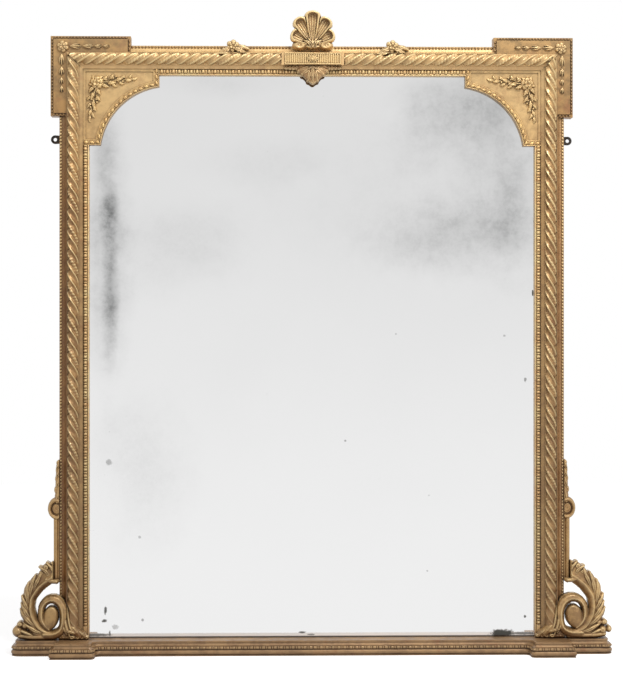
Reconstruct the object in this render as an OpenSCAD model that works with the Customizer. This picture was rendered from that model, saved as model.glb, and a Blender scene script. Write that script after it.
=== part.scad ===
// Overmantel mirror: a giltwood and gesso frame with a twisted ribbon moulding, eared corners,
// concave corner spandrels, a scallop shell crest, scrolled side consoles and a moulded plinth.
// It stands on the underside of its plinth. X runs to the viewer's right, Z up and -Y to the front.
// Depths named *_d are measured forward from the wall plane at the back.

/* [Frame] */
// Width across the outer edges of the two stiles
frame_w = 1313; // [1150:1:1500]
// Height of the top rail's outer edge above the underside of the plinth
frame_h = 1577; // [1350:1:1800]
// Depth of the pine carcass under the mouldings
carcass_d = 34; // [31:0.5:40]
// Width of the outer hollow moulding, across the section
hollow_w = 20; // [18:0.5:24]
// Width of the bed that carries the twisted ribbon
bed_w = 32; // [30:0.5:38]
// Depth of that bed's face
bed_d = 52; // [48:0.5:58]
// Width of the plain fillet inside the twisted ribbon
fillet_w = 9; // [7:0.5:12]
// Depth of the plain fillet's face
fillet_d = 49; // [46:0.5:55]
// Width of the sight edge moulding next to the glass
sight_w = 17; // [15:0.5:22]
// Depth of the sight edge at its crest
sight_d = 45; // [42:0.5:50]

/* [Outer hollow] */
// Width of the flat shelf under the pearls
shelf_w = 7.5; // [7:0.5:9]
// Depth of that shelf
shelf_d = 38; // [36:0.5:42]
// Depth of the hollow's inner lip
lip_d = 54; // [50:0.5:56]

/* [Pearls] */
// Radius of one pearl
pearl_r = 3.3; // [2.5:0.1:3.6]
// Distance from pearl to pearl
pearl_pitch = 8.3; // [7.6:0.1:12]

/* [Twisted ribbon] */
// Radius of the twisted moulding
rope_r = 15.5; // [12:0.5:15.5]
// How far the leaf bands stand above the ribbon between them
rope_relief = 2; // [1:0.1:3]
// Thickness of the moulding's foot, which is as wide as the bands
rope_foot = 1; // [0.5:0.1:2]
// Distance along the moulding from one leaf band to the next
rope_lay = 78; // [60:1:100]
// Width of a leaf band, along the moulding
leaf_band = 44; // [30:1:48]
// Width of the two raised edges of the ribbon, along the moulding
ribbon_edge = 5; // [3:0.5:6]
// How far a band runs along the moulding for each millimetre it crosses
rope_slope = 1.9; // [1.2:0.1:2.4]

/* [Glass and back] */
// Thickness of the silvered plate
glass_t = 5; // [4:0.5:6]
// Overlap of the sight edge on the plate
glass_lap = 12; // [10:0.5:14]
// Thickness of the backboards
board_t = 8; // [6:0.5:9]
// Width of the rebate that the backboards lie in
board_lap = 18; // [16:0.5:22]
// Number of backboards
board_count = 8; // [6:1:10]
// Gap between two backboards
board_gap = 1; // [0.5:0.1:2]
// Length of one glazing block
block_len = 60; // [40:1:90]
// Height of the bottom rail behind the plate
bottom_rail_h = 60; // [45:1:80]

/* [Ears] */
// How far an ear stands out past the stile
ear_out = 22; // [14:1:30]
// How far an ear stands up above the top rail
ear_up = 23; // [14:1:30]
// Length of each arm of an ear, from its outer corner
ear_len = 207; // [185:1:240]
// Depth of an ear's face
ear_d = 50; // [46:0.5:54]
// Height of the step between the pearls' shelf and an ear's face
ear_step = 4; // [3:0.5:5]

/* [Spandrels] */
// How far each end of a spandrel reaches from the frame's outer corner
spandrel_reach = 258; // [240:1:300]
// Distance of the arc's centre from the frame's two outer edges
arc_inset = 283; // [275:1:310]
// Radius of the concave edge
arc_r = 179; // [170:1:190]
// Depth of a spandrel's face
spandrel_d = 44; // [42:0.5:47]
// Width of the carved strip along a spandrel's free edges
strip_w = 15; // [12:0.5:18]
// How far the panel is sunk
panel_sink = 3; // [2:0.5:4]

/* [Crest] */
// Width of the plain block in the middle of the top rail
crest_block_w = 162; // [140:1:200]
// Depth of that block's face
crest_block_d = 66; // [62:0.5:72]
// Width of the fluted tablet
tablet_w = 148; // [120:1:154]
// Height of the fluted tablet
tablet_h = 30; // [24:0.5:32]
// Thickness of the tablet
tablet_t = 4; // [3:0.5:6]
// Number of flutes in the tablet
flute_count = 22; // [14:1:26]
// Height of the shell above its hinge
shell_r = 90; // [70:1:110]
// Depth of the shell's relief
shell_relief = 17; // [12:0.5:22]
// Height of the pendant leaf below the plain fillet
pendant_h = 50; // [40:1:60]
// Distance of the two roses from the middle
rose_x = 207; // [160:1:300]
// Radius of a rose
rose_r = 17; // [12:0.5:19]

/* [Side consoles] */
// Radius of the big scroll's spiral where it springs from the stile
scroll_r = 78; // [70:0.5:84]
// Height of the spiral there, which is taller than wide
scroll_rise = 97.5; // [85:0.5:105]
// Half width of the scroll's band
band_r = 8.5; // [7:0.5:10]
// Half depth of the scroll's band
band_half_d = 22; // [18:0.5:26]
// Width of the flat strip above the scroll
side_strip_w = 15; // [12:0.5:18]
// Height of the small volute above the plinth
volute_z = 339; // [300:1:400]
// Outer radius of the small volute
volute_r = 22; // [18:0.5:26]
// Height of the flat strip's foot above the plinth
strip_z = 155; // [140:1:175]
// Depth of the strip and the small volute
side_d = 44; // [38:0.5:48]
// Depth of the strip's back
side_back_d = 10; // [6:0.5:16]

/* [Plinth] */
// Height of the plinth
plinth_h = 38; // [34:0.5:46]
// Depth of the plinth in the middle
plinth_d = 95; // [85:1:105]
// Depth of the two pedestals under the stiles
pedestal_d = 145; // [130:1:165]
// Depth of the plinth's ends
end_d = 88; // [78:1:98]
// How far a pedestal stands out past the stile
pedestal_out = 17; // [12:1:25]
// How far a pedestal reaches in past the sight edge
pedestal_in = 22; // [16:1:40]
// How far the plinth reaches out past the stile
end_out = 122; // [112:1:140]
// Radius of the plinth's outer corners
end_r = 26; // [20:1:32]
// How far the top edge lies behind the lowest roll
plinth_slope = 13; // [8:0.5:14]

/* [Fittings] */
// Outer radius of a lug's eye
lug_r = 11.3; // [9:0.1:13]
// Radius of the hole in a lug
lug_hole_r = 4.6; // [3.5:0.1:5.5]
// Thickness of a lug
lug_t = 3; // [2:0.5:4]
// How far the lugs lie below the top rail's outer edge
lug_drop = 241; // [237:1:400]
// Radius of the screws' shanks
screw_r = 2; // [1.5:0.1:2.5]
// Clearance between a screw and its hole
screw_gap = 0.1; // [0.05:0.05:0.2]

/* [Hidden] */
$fn = 48;
back_y = pedestal_d / 2;
half_w = frame_w / 2;
bed_s = hollow_w;                        // sections run inwards from the outer edge
fillet_s = bed_s + bed_w;
sight_s = fillet_s + fillet_w;
open_s = sight_s + sight_w;
rebate_s = open_s - glass_lap;
board_s = rebate_s - board_lap;
rope_s = bed_s + bed_w / 2;
glass_front = 28;
glass_back = glass_front - glass_t;
seat_gap = 0.3;                          // between curved or hidden faces that nearly touch
cut = 1;                                 // how far a cutting solid runs past the face it cuts
far = frame_w;                           // size of a cutting solid that clears everything
groove_deep = 6;                         // of the groove in the plinth that takes the plate
foot_h = 46;                             // height of the leaf at the foot of each stile
panel_margin = 7;
strip_t = 3;                             // thickness of a spandrel's carved strip
ear_arm_x = half_w + ear_out - ear_len;  // where an ear's upper arm ends
ear_arm_z = frame_h + ear_up - ear_len;  // where an ear's side arm ends
pedestal_x0 = half_w - open_s - pedestal_in;
pedestal_x1 = half_w + pedestal_out;
round_r = plinth_slope + 3;              // convex turn from a pedestal's face to its inner side
hollow_r = 13;                           // concave turn from that side to the plinth's middle
middle_x = pedestal_x0 - hollow_r;
shell_z = frame_h + 3;
shell_back_d = 45;

gilt = "#c9a15a";
old_gilt = "#8f7350";
pine = "#b08d5c";
iron = "#3a3834";
silvering = "#d9dcdd";

// ---- placing ---------------------------------------------------------------------------------

function sx(s) = half_w - s;      // x of a point s inwards from the right-hand outer edge
function tz(s) = frame_h - s;     // z of a point s down from the top edge
function dy(d) = back_y - d;      // y of a point d forward of the wall

// Points on an ellipse about c, from angle a0 to a1 in n steps
function arc(c, rx, ry, a0, a1, n) =
    [for (i = [0:n]) let (a = a0 + (a1 - a0) * i / n) [c[0] + rx * cos(a), c[1] + ry * sin(a)]];

// A front view, drawn in x and z, made solid from depth d0 to d1
module plate(d0, d1) {
    translate([0, dy(d0), 0]) rotate([90, 0, 0]) linear_extrude(d1 - d0) children();
}

// A section in s and d, run up the right-hand stile
module upright(z0, z1) {
    translate([half_w, back_y, z0]) rotate([0, 0, 180]) linear_extrude(z1 - z0) children();
}

// The same section run along the top rail
module along_top(x0, x1) {
    translate([x0, back_y, frame_h]) mirror([0, 1, 0]) rotate([0, 90, 0])
        linear_extrude(x1 - x0) children();
}

// A plinth section in d and z, run along x
module along_x(x0, x1) {
    translate([x0, back_y, 0]) mirror([0, 1, 0]) rotate([90, 0, 90])
        linear_extrude(x1 - x0) children();
}

module left_side() {
    mirror([1, 0, 0]) children();
}

// Everything outside the 45-degree mitre line on the right stile, as a front view
module stile_region(z0) {
    polygon([[half_w, z0], [half_w, frame_h], [sx(open_s + 20), tz(open_s + 20)],
        [sx(open_s + 20), z0]]);
}

module top_region() {
    polygon([[-half_w, frame_h], [half_w, frame_h], [sx(open_s + 20), tz(open_s + 20)],
        [-sx(open_s + 20), tz(open_s + 20)]]);
}

// ---- carcass ---------------------------------------------------------------------------------

module carcass_section() {
    polygon([[0, 0], [0, carcass_d], [bed_s, carcass_d], [bed_s, bed_d], [fillet_s, bed_d],
        [fillet_s, fillet_d], [sight_s, fillet_d - 2], [sight_s, carcass_d],
        [rebate_s, carcass_d], [rebate_s, board_t], [board_s, board_t], [board_s, 0]]);
}

board_z0 = plinth_h + seat_gap;
board_h = (tz(board_s) - seat_gap - board_z0 - (board_count - 1) * board_gap) / board_count;
function board_z(i) = board_z0 + i * (board_h + board_gap);
screw_x = sx(board_s + board_lap / 2);
screw_len = 22;
lug_z = frame_h - lug_drop;

// The screws that hold the right-hand ends of the backboards, grown by gap
module board_screws_right(gap) {
    for (i = [0:board_count - 1])
        translate([screw_x, back_y, board_z(i) + board_h / 2]) rotate([90, 0, 0]) {
            cylinder(r = screw_r + gap, h = screw_len + gap);
            cylinder(r1 = screw_r * 2 + gap, r2 = screw_r + gap, h = screw_r);
        }
}

lug_x = half_w + lug_hole_r + 10;
lug_plate_len = 42;
function lug_hole_x(i) = half_w - 14 - 18 * i;

module lug_screws_right(gap) {
    for (i = [0:1])
        translate([lug_hole_x(i), back_y, lug_z]) rotate([90, 0, 0]) {
            cylinder(r = screw_r + gap, h = screw_len + gap);
            cylinder(r1 = screw_r * 2 + gap, r2 = screw_r + gap, h = screw_r);
        }
}

module lug_outline(gap) {
    translate([lug_x, lug_z]) circle(r = lug_r + gap);
    polygon([[lug_x, lug_z - lug_r - gap], [lug_x, lug_z + lug_r + gap],
        [half_w - lug_plate_len - gap, lug_z + lug_r * 0.7 + gap],
        [half_w - lug_plate_len - gap, lug_z - lug_r * 0.7 - gap]]);
}

module right_stile() {
    difference() {
        intersection() {
            upright(plinth_h, frame_h) carcass_section();
            plate(-cut, bed_d + cut) stile_region(plinth_h);
        }
        plate(-cut, lug_t) lug_outline(screw_gap);
        board_screws_right(screw_gap);
        lug_screws_right(screw_gap);
    }
}

module stile_left() {
    color(pine) left_side() right_stile();
}

module stile_right() {
    color(pine) right_stile();
}

module top_rail() {
    color(pine) intersection() {
        along_top(-half_w, half_w) carcass_section();
        plate(-cut, bed_d + cut) top_region();
    }
}

// Lies behind the foot of the plate, between the stiles
module bottom_rail() {
    color(pine) plate(board_t, glass_back - seat_gap)
        translate([-sx(rebate_s), plinth_h]) square([2 * sx(rebate_s), bottom_rail_h]);
}

// ---- outer hollow and pearls -----------------------------------------------------------------

module hollow_section() {
    rx = hollow_w - 1.5 - shelf_w;
    ry = lip_d - shelf_d;
    polygon(concat([[0, carcass_d], [0, shelf_d]],
        arc([shelf_w, lip_d], rx, ry, -90, 0, 6),
        [[hollow_w, lip_d], [hollow_w, carcass_d]]));
}

module right_hollow() {
    upright(plinth_h, ear_arm_z) hollow_section();
}

module hollow_left() {
    color(old_gilt) left_side() right_hollow();
}

module hollow_right() {
    color(old_gilt) right_hollow();
}

module hollow_top() {
    color(old_gilt) along_top(-ear_arm_x, ear_arm_x) hollow_section();
}

// Half a ball with its flat side to the wall
module pearl(r) {
    rotate([90, 0, 0]) rotate_extrude() intersection() {
        circle(r);
        square(r);
    }
}

// A row of pearls from point a to point b of the front view, seated at depth d
module pearl_row(a, b, d) {
    run = norm(b - a);
    count = floor(run / pearl_pitch);
    for (i = [0:count - 1])
        let (p = a + (b - a) * (i + 0.5) / count)
            translate([p[0], dy(d), p[1]]) pearl(pearl_r);
}

module right_pearls() {
    pearl_row([sx(shelf_w / 2), plinth_h], [sx(shelf_w / 2), ear_arm_z], shelf_d);
}

module pearls_left() {
    color(gilt) left_side() right_pearls();
}

module pearls_right() {
    color(gilt) right_pearls();
}

// Three runs, which leave room for the two roses and for the shell
module pearls_top() {
    z = tz(shelf_w / 2);
    color(gilt) {
        for (side = [-1, 1]) {
            pearl_row([side * (rose_x + rose_r), z], [side * ear_arm_x, z], shelf_d);
            pearl_row([side * shell_r * 0.62, z], [side * (rose_x - rose_r), z], shelf_d);
        }
    }
}

// ---- twisted ribbon --------------------------------------------------------------------------

// Half-round bar along z, lying on its flat side at y = 0
module half_round(r, len) {
    linear_extrude(len) intersection() {
        circle(r);
        translate([-r - cut, -r - cut]) square([2 * r + 2 * cut, r + cut]);
    }
}

// One band that crosses the bar at a slant, from z0, w wide along the bar
module slant_band(z0, w, lean) {
    reach = rope_r + cut;
    rise = lean * rope_slope * reach;
    rotate([90, 0, 0]) linear_extrude(rope_r + cut)
        polygon([[-reach, z0 + rise], [reach, z0 - rise], [reach, z0 - rise + w],
            [-reach, z0 + rise + w]]);
}

// Leaf bands with a narrow ribbon between them. lean is 1 where they fall to the right.
module twist(len, lean, start) {
    groove = (rope_lay - leaf_band - 2 * ribbon_edge) / 6;
    extra = ceil(rope_slope * rope_r / rope_lay);
    half_round(rope_r - rope_relief, len);
    intersection() {
        half_round(rope_r, len);
        union() {
            // A thin foot as wide as the bands carries them past the core, up to the mitre's tip
            translate([-rope_r, -rope_foot, 0]) cube([2 * rope_r, rope_foot, len]);
            for (i = [-extra - 1:ceil(len / rope_lay) + extra]) {
                z = start + i * rope_lay;
                slant_band(z, leaf_band, lean);
                slant_band(z + leaf_band + groove, ribbon_edge, lean);
                slant_band(z + rope_lay - groove - ribbon_edge, ribbon_edge, lean);
            }
        }
    }
}

module upright_rope(side, lean) {
    z0 = plinth_h + foot_h;
    color(gilt) intersection() {
        translate([side * sx(rope_s), dy(bed_d), z0]) twist(frame_h - z0, lean, 0);
        mirror([side < 0 ? 1 : 0, 0, 0]) plate(bed_d - cut, bed_d + rope_r + cut)
            stile_region(z0);
    }
}

module rope_left() {
    upright_rope(-1, 1);
}

module rope_right() {
    upright_rope(1, 1);
}

module top_rope(side) {
    len = half_w - crest_block_w / 2;
    x0 = side > 0 ? crest_block_w / 2 : -half_w;
    color(gilt) intersection() {
        translate([x0, dy(bed_d), tz(rope_s)]) rotate([0, 90, 0])
            twist(len, 1, rope_lay / 2);
        plate(bed_d - cut, bed_d + rope_r + cut) top_region();
    }
}

module rope_top_left() {
    top_rope(-1);
}

module rope_top_right() {
    top_rope(1);
}

// ---- sight edge ------------------------------------------------------------------------------

module sight_section() {
    round_w = sight_w - 5;
    low_d = 36;
    polygon(concat([[sight_s, carcass_d], [sight_s, sight_d]],
        arc([sight_s + 1, low_d], round_w, sight_d - low_d, 90, 0, 6),
        [[open_s, low_d - 2], [open_s, glass_front], [rebate_s, glass_front],
        [rebate_s, carcass_d]]));
}

module sight_edge_left() {
    color(gilt) left_side() upright(plinth_h, tz(spandrel_reach)) sight_section();
}

module sight_edge_right() {
    color(gilt) upright(plinth_h, tz(spandrel_reach)) sight_section();
}

module sight_edge_top() {
    color(gilt) along_top(-sx(spandrel_reach), sx(spandrel_reach)) sight_section();
}

// ---- ears ------------------------------------------------------------------------------------

// The right ear's outline, drawn in from its edge by inset
module ear_outline(inset) {
    x1 = half_w + ear_out - inset;
    z1 = frame_h + ear_up - inset;
    polygon([[ear_arm_x + inset, tz(bed_s)], [ear_arm_x + inset, z1], [x1, z1],
        [x1, ear_arm_z + inset], [sx(bed_s), ear_arm_z + inset], [sx(bed_s), tz(bed_s)]]);
}

module right_ear() {
    low_d = 6;
    difference() {
        plate(low_d, ear_d - ear_step) ear_outline(0);
        plate(0, carcass_d) translate([0, 0]) square([half_w, frame_h]);
    }
    plate(ear_d - ear_step, ear_d) ear_outline(shelf_w);
}

module ear_left() {
    color(gilt) left_side() right_ear();
}

module ear_right() {
    color(gilt) right_ear();
}

module right_ear_pearls() {
    e = shelf_w / 2;
    d = ear_d - ear_step;
    x0 = ear_arm_x + e;
    x1 = half_w + ear_out - e;
    z0 = ear_arm_z + e;
    z1 = frame_h + ear_up - e;
    pearl_row([x0, frame_h - bed_s + e], [x0, z1 - e], d);
    pearl_row([x0 + e, z1], [x1 - e, z1], d);
    pearl_row([x1, z1], [x1, z0 + e], d);
    pearl_row([x1, z0], [sx(bed_s - e), z0], d);
}

module ear_pearls_left() {
    color(gilt) left_side() right_ear_pearls();
}

module ear_pearls_right() {
    color(gilt) right_ear_pearls();
}

// A pod with pointed ends, cut flat at the back. It lies along +x from the origin.
module husk(len, r) {
    intersection() {
        rotate([0, 90, 0]) rotate_extrude()
            polygon([[0, 0], [r * 0.62, len * 0.12], [r, len * 0.35], [r * 0.86, len * 0.6],
                [r * 0.4, len * 0.86], [0, len]]);
        translate([0, -r - cut, -r - cut]) cube([len, r + cut, 2 * r + 2 * cut]);
    }
}

// Half-ball petals round a half-ball heart
module rosette(r, petals) {
    pearl(r * 0.42);
    for (i = [0:petals - 1])
        rotate([0, i * 360 / petals, 0]) translate([r * 0.6, 0, 0]) pearl(r * 0.4);
}

// Lengths of the husks in a drop, largest first, and their radii
husk_lengths = [29, 26, 19, 18];
husk_radii = [6.5, 6, 5, 4];
husk_start = 14;
function husk_at(i) = i == 0 ? husk_start : husk_at(i - 1) + husk_lengths[i - 1] + 1;

module right_husk_drop() {
    x = half_w - 3;
    z = frame_h - 4;
    translate([x, dy(ear_d), z]) {
        rosette(12, 6);
        for (i = [0:len(husk_lengths) - 1]) {
            translate([-husk_at(i), 0, 0]) rotate([0, 180, 0])
                husk(husk_lengths[i], husk_radii[i]);
            translate([0, 0, -husk_at(i)]) rotate([0, 90, 0])
                husk(husk_lengths[i], husk_radii[i]);
        }
    }
}

module husk_drop_left() {
    color(gilt) left_side() right_husk_drop();
}

module husk_drop_right() {
    color(gilt) right_husk_drop();
}

// ---- spandrels -------------------------------------------------------------------------------

// The right corner plate's front view, with its free edges drawn outwards by grow
module spandrel_outline(grow) {
    reach = spandrel_reach + grow;
    difference() {
        translate([sx(reach), tz(reach)]) square(reach - sight_s);
        translate([sx(arc_inset), tz(arc_inset)]) circle(r = arc_r - grow, $fn = 96);
    }
}

module right_spandrel() {
    over = spandrel_reach + cut;
    difference() {
        plate(glass_front, spandrel_d) spandrel_outline(0);
        plate(glass_front - cut, carcass_d)
            translate([sx(rebate_s), tz(over)]) square([over, over]);
        plate(glass_front - cut, carcass_d)
            translate([sx(over), tz(rebate_s)]) square([over, over]);
        plate(spandrel_d - panel_sink, spandrel_d + cut) intersection() {
            spandrel_outline(-strip_w);
            translate([sx(over), tz(over)]) square(over - sight_s - panel_margin);
        }
    }
}

module spandrel_left() {
    color(gilt) left_side() right_spandrel();
}

module spandrel_right() {
    color(gilt) right_spandrel();
}

// The raised strip that follows the spandrel's free edges
module right_spandrel_edge() {
    plate(spandrel_d, spandrel_d + strip_t) difference() {
        spandrel_outline(0);
        spandrel_outline(-strip_w);
    }
}

module spandrel_edge_left() {
    color(gilt) left_side() right_spandrel_edge();
}

module spandrel_edge_right() {
    color(gilt) right_spandrel_edge();
}

// A ball that hulls stretch into limbs and leaves, deep times as deep as it is wide
module ball(p, r, deep) {
    translate(p) scale([1, deep, 1]) sphere(r, $fn = 8);
}

// A leaf from the origin along +x, thickest a third of the way out
module leaf(len, w, deep) {
    hull() {
        ball([w * 0.2, 0, 0], w * 0.2, deep);
        ball([len * 0.4, 0, 0], w * 0.5, deep * 0.8);
        ball([len - w * 0.1, 0, 0], w * 0.1, deep);
    }
}

// Leaves in pairs on a stem along +x, smaller towards the tip
module leafy_arm(len, w) {
    pairs = 4;
    husk(len, 2.6);
    for (i = [0:pairs - 1])
        for (side = [-1, 1])
            translate([len * (0.12 + i * 0.2) + side * 2.5, 0, 0]) rotate([0, side * 36, 0])
                husk(w * (1 - i * 0.17), w * 0.21 * (1 - i * 0.17));
    translate([len * 0.9, 0, 0]) husk(w * 0.5, w * 0.14);
}

// A rose with a leafy arm along the top rail and another down the stile
module right_flower_spray() {
    translate([sx(102), dy(spandrel_d - panel_sink), tz(94)]) {
        rosette(13, 5);
        rotate([0, 180 + 5, 0]) leafy_arm(104, 24);
        rotate([0, 90 - 8, 0]) leafy_arm(104, 24);
    }
}

module flower_spray_left() {
    color(gilt) left_side() right_flower_spray();
}

module flower_spray_right() {
    color(gilt) right_flower_spray();
}

// ---- crest -----------------------------------------------------------------------------------

module crest_block() {
    color(gilt) plate(bed_d, crest_block_d)
        translate([-crest_block_w / 2, tz(fillet_s)]) square([crest_block_w, bed_w]);
}

// A framed tablet with half-round flutes on each side of its patera
module crest_tablet() {
    z0 = tz(rope_s) - tablet_h / 2;
    rim = 3.5;
    field_w = tablet_w - 2 * rim;
    pitch = field_w / flute_count;
    color(gilt) difference() {
        plate(crest_block_d, crest_block_d + tablet_t)
            translate([-tablet_w / 2, z0]) square([tablet_w, tablet_h]);
        for (i = [0:flute_count - 1])
            translate([(i + 0.5) * pitch - field_w / 2, dy(crest_block_d + tablet_t + 0.6),
                z0 + rim]) cylinder(r = pitch * 0.4, h = tablet_h - 2 * rim);
    }
}

module tablet_patera() {
    color(gilt) translate([0, dy(crest_block_d + tablet_t), tz(rope_s)]) {
        rosette(9.5, 8);
        for (side = [-1, 1])
            translate([side * 8, 0, 0]) rotate([0, side > 0 ? 0 : 180, 0]) husk(10, 4.5);
    }
}

shell_lobes = 7;
shell_spread = 115;                      // half the angle that the shell fans out
shell_taper = 0.41;                      // of its radius, in mm for each degree from the top
shell_steps = 6;                         // facets across a lobe
shell_rings = 6;

// Where angle a lies across its lobe: 0 in the middle, 1 in the groove beside it
function lobe_at(a) =
    let (k = (a + shell_spread) / (2 * shell_spread) * shell_lobes) abs(2 * (k - floor(k)) - 1);

// Point of the shell's face on ring t (0 at the hinge, 1 at the rim), at angle a from the top
function shell_point(t, a) =
    let (u = lobe_at(a),
        r = (shell_r - shell_taper * abs(a)) * (1 - 0.13 * pow(u, 3)) * t,
        swell = 5 + (shell_relief - 5) * pow(t, 1.5),
        scoop = 5 * sin(180 * min(t, 0.97)) * (1 - pow(u, 2)))
    [r * sin(a), -(t > 0.999 ? swell * 0.55 : swell - scoop), r * cos(a)];

// The scalloped fan: a scooped face, and a flat back on the same outline
module crest_shell() {
    n = shell_lobes * shell_steps;
    function angle_at(j) = -shell_spread + 2 * shell_spread * j / n;
    face = [for (i = [0:shell_rings]) for (j = [0:n])
        shell_point(max(i / shell_rings, 0.06), angle_at(j))];
    rim = [for (j = [0:n]) let (p = shell_point(1, angle_at(j))) [p[0], 0, p[2]]];
    root = [[0, 0, 0]];
    w = n + 1;
    top = w * (shell_rings + 1);
    hinge = top + w;
    quads = [for (i = [0:shell_rings - 1]) for (j = [0:n - 1])
        let (a = i * w + j, b = a + w) each [[a, a + 1, b + 1], [a, b + 1, b]]];
    edge = [for (j = [0:n - 1])
        let (a = shell_rings * w + j, b = top + j) each [[a, a + 1, b + 1], [a, b + 1, b]]];
    back = [for (j = [0:n - 1]) [top + j, top + j + 1, hinge]];
    // The two straight sides and the small hinge face between them close the fan
    first = [for (i = [0:shell_rings]) i * w];
    last = [for (i = [0:shell_rings]) i * w + n];
    side0 = [for (i = [0:shell_rings - 1]) [first[i], first[i + 1], hinge]];
    side1 = [for (i = [0:shell_rings - 1]) [last[i + 1], last[i], hinge]];
    tip = [for (j = [0:n - 1]) [j + 1, j, hinge]];
    color(gilt) translate([0, dy(shell_back_d), shell_z])
        polyhedron(concat(face, rim, root), concat(quads, edge, back, side0, side1, tip,
            [[first[shell_rings], top, hinge], [top + n, last[shell_rings], hinge]]));
}

// Pine board that stands on the rail behind the shell
module crest_batten() {
    batten_d = 10;
    color(pine) plate(batten_d, shell_back_d) polygon([[-44, frame_h], [44, frame_h],
        [36, frame_h + 50], [14, frame_h + 72], [-14, frame_h + 72], [-36, frame_h + 50]]);
}

// Acanthus leaf that hangs below the tablet, with three curled side leaves each way
module pendant_leaf() {
    seat_d = fillet_d;
    color(gilt) intersection() {
        translate([0, dy(seat_d) - 0.4, tz(fillet_s)]) {
            hull() {
                ball([-52, 0, -5], 3, 1);
                ball([52, 0, -5], 3, 1);
            }
            for (side = [-1, 1]) {
                for (i = [0:2])
                    translate([side * (14 + 19 * i), 0, -5]) rotate([0, side * (55 - 22 * i), 0])
                        rotate([0, 90, 0]) leaf(26 - 6 * i, 16 - 2 * i, 1.3);
                translate([side * 9, 0, -4]) rotate([0, 90 + side * 24, 0])
                    leaf(pendant_h * 0.75, 17, 1.3);
            }
            translate([0, 0, -2]) rotate([0, 90, 0]) leaf(pendant_h - 2, 22, 1.4);
        }
        plate(seat_d, seat_d + 40) translate([-half_w, tz(fillet_s) - 200])
            square([frame_w, 200]);
    }
}

// A rose with four leaves on a peg that stands on the pearls' shelf
module rose_at(x) {
    color(gilt) translate([x, dy(shelf_d), tz(0)]) {
        translate([0, 0, -shelf_w / 2]) rotate([90, 0, 0]) cylinder(r = shelf_w / 2, h = 8);
        translate([0, -8, 0]) {
            rosette(rose_r, 6);
            for (side = [-1, 1]) {
                translate([side * rose_r * 0.6, 0, -6]) rotate([0, side > 0 ? 12 : 168, 0])
                    husk(rose_r * 1.1, 6);
                translate([side * rose_r * 0.45, 0, -7]) rotate([0, side > 0 ? 48 : 132, 0])
                    husk(rose_r * 0.7, 4.5);
            }
        }
    }
}

module rose_left() {
    rose_at(-rose_x);
}

module rose_right() {
    rose_at(rose_x);
}

// ---- side consoles ---------------------------------------------------------------------------

// The scroll's centre line is a spiral about its eye. Each pair holds an angle, counted from the
// stile's side over the top, and the radius there as a share of scroll_r.
scroll_path = [[64, 1], [100, 0.92], [130, 0.85], [160, 0.73], [190, 0.6], [225, 0.53],
    [270, 0.49], [360, 0.46], [440, 0.47], [500, 0.39], [560, 0.31], [620, 0.23]];
// How far the acanthus on its back stands out beyond the centre line, by angle
leaf_reach = [[90, 40], [110, 34], [134, 30], [167, 29], [190, 25], [215, 19], [240, 12]];
scroll_u = scroll_r / 78;                // the unit of the scroll's leaves, which grow with it
scroll_stretch = scroll_rise / scroll_r;
scroll_steps = 34;
scroll_deep = band_half_d / band_r;
scroll_mid_d = bed_d;
scroll_low = scroll_stretch * scroll_r * 0.49 + band_r;
scroll_eye = [half_w + 20 * scroll_u, plinth_h + scroll_low - 1.5 * scroll_u];

// A point off the right-hand scroll's centre line at angle a
function spiral(a, off) =
    let (r = scroll_r * lookup(a, scroll_path) + off)
    [scroll_eye[0] - r * cos(a), dy(scroll_mid_d), scroll_eye[1] + scroll_stretch * r * sin(a)];

// A ball of the scroll's leaves, out from the eye and above the plinth
module foot_ball(out, up, r, deep) {
    ball([scroll_eye[0] + out * scroll_u, dy(scroll_mid_d), plinth_h + up * scroll_u],
        r * scroll_u, deep);
}

// A ball of its leaves at angle a, off the centre line
module back_ball(a, off, r, deep) {
    ball(spiral(a, off * scroll_u), r * scroll_u, deep);
}

module scroll_body() {
    a0 = scroll_path[0][0];
    a1 = scroll_path[len(scroll_path) - 1][0];
    step = (a1 - a0) / scroll_steps;
    // The band
    for (i = [0:scroll_steps - 1])
        let (a = a0 + i * step)
            hull() {
                ball(spiral(a, 0), band_r, scroll_deep);
                ball(spiral(a + step, 0), band_r, scroll_deep);
            }
    // The acanthus on its back
    for (a = [94:17:232])
        hull() {
            back_ball(a + 18, 5, 8, 2.2);
            back_ball(a + 4, lookup(a, leaf_reach) * 0.7, 7, 1.9);
            back_ball(a - 4, lookup(a, leaf_reach) - 4, 4, 1.6);
        }
    // The curled leaf at the outer foot, and the leaf that joins it to the band
    hull() {
        foot_ball(84, 19, 14, 1.4);
        back_ball(206, 15, 9, 1.8);
    }
    hull() {
        foot_ball(74, 9, 10, 1.8);
        back_ball(258, 3, 9, 2.2);
    }
    // The tail that runs down on to the pedestal beside the stile's foot
    hull() {
        ball(spiral(338, 2 * scroll_u), band_r, scroll_deep);
        foot_ball(-32, 6, 11, 2.1);
    }
    // The eye
    translate([scroll_eye[0], dy(scroll_mid_d), scroll_eye[1]]) scale([1, 1.05, 1.5])
        sphere(16 * scroll_u, $fn = 16);
}

module right_scroll() {
    difference() {
        scroll_body();
        // Room for the plinth, the stile, the twisted ribbon, the leaf at its foot and the strip
        translate([0, dy(far), plinth_h - far]) cube([far, 2 * far, far]);
        translate([0, dy(lip_d + seat_gap), 0]) cube([half_w, far, frame_h]);
        translate([sx(rope_s), dy(bed_d), 0]) cylinder(r = rope_r + seat_gap, h = frame_h);
        translate([0, dy(far), 0]) cube([sx(rope_s - rope_r * 0.4), 2 * far, frame_h]);
        translate([0, dy(far), 0]) cube([sx(bed_s) + seat_gap, 2 * far, plinth_h + foot_h]);
        plate(0, far) translate([0, side_strip_z])
            square([half_w + side_strip_w + seat_gap, far]);
    }
}

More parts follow.
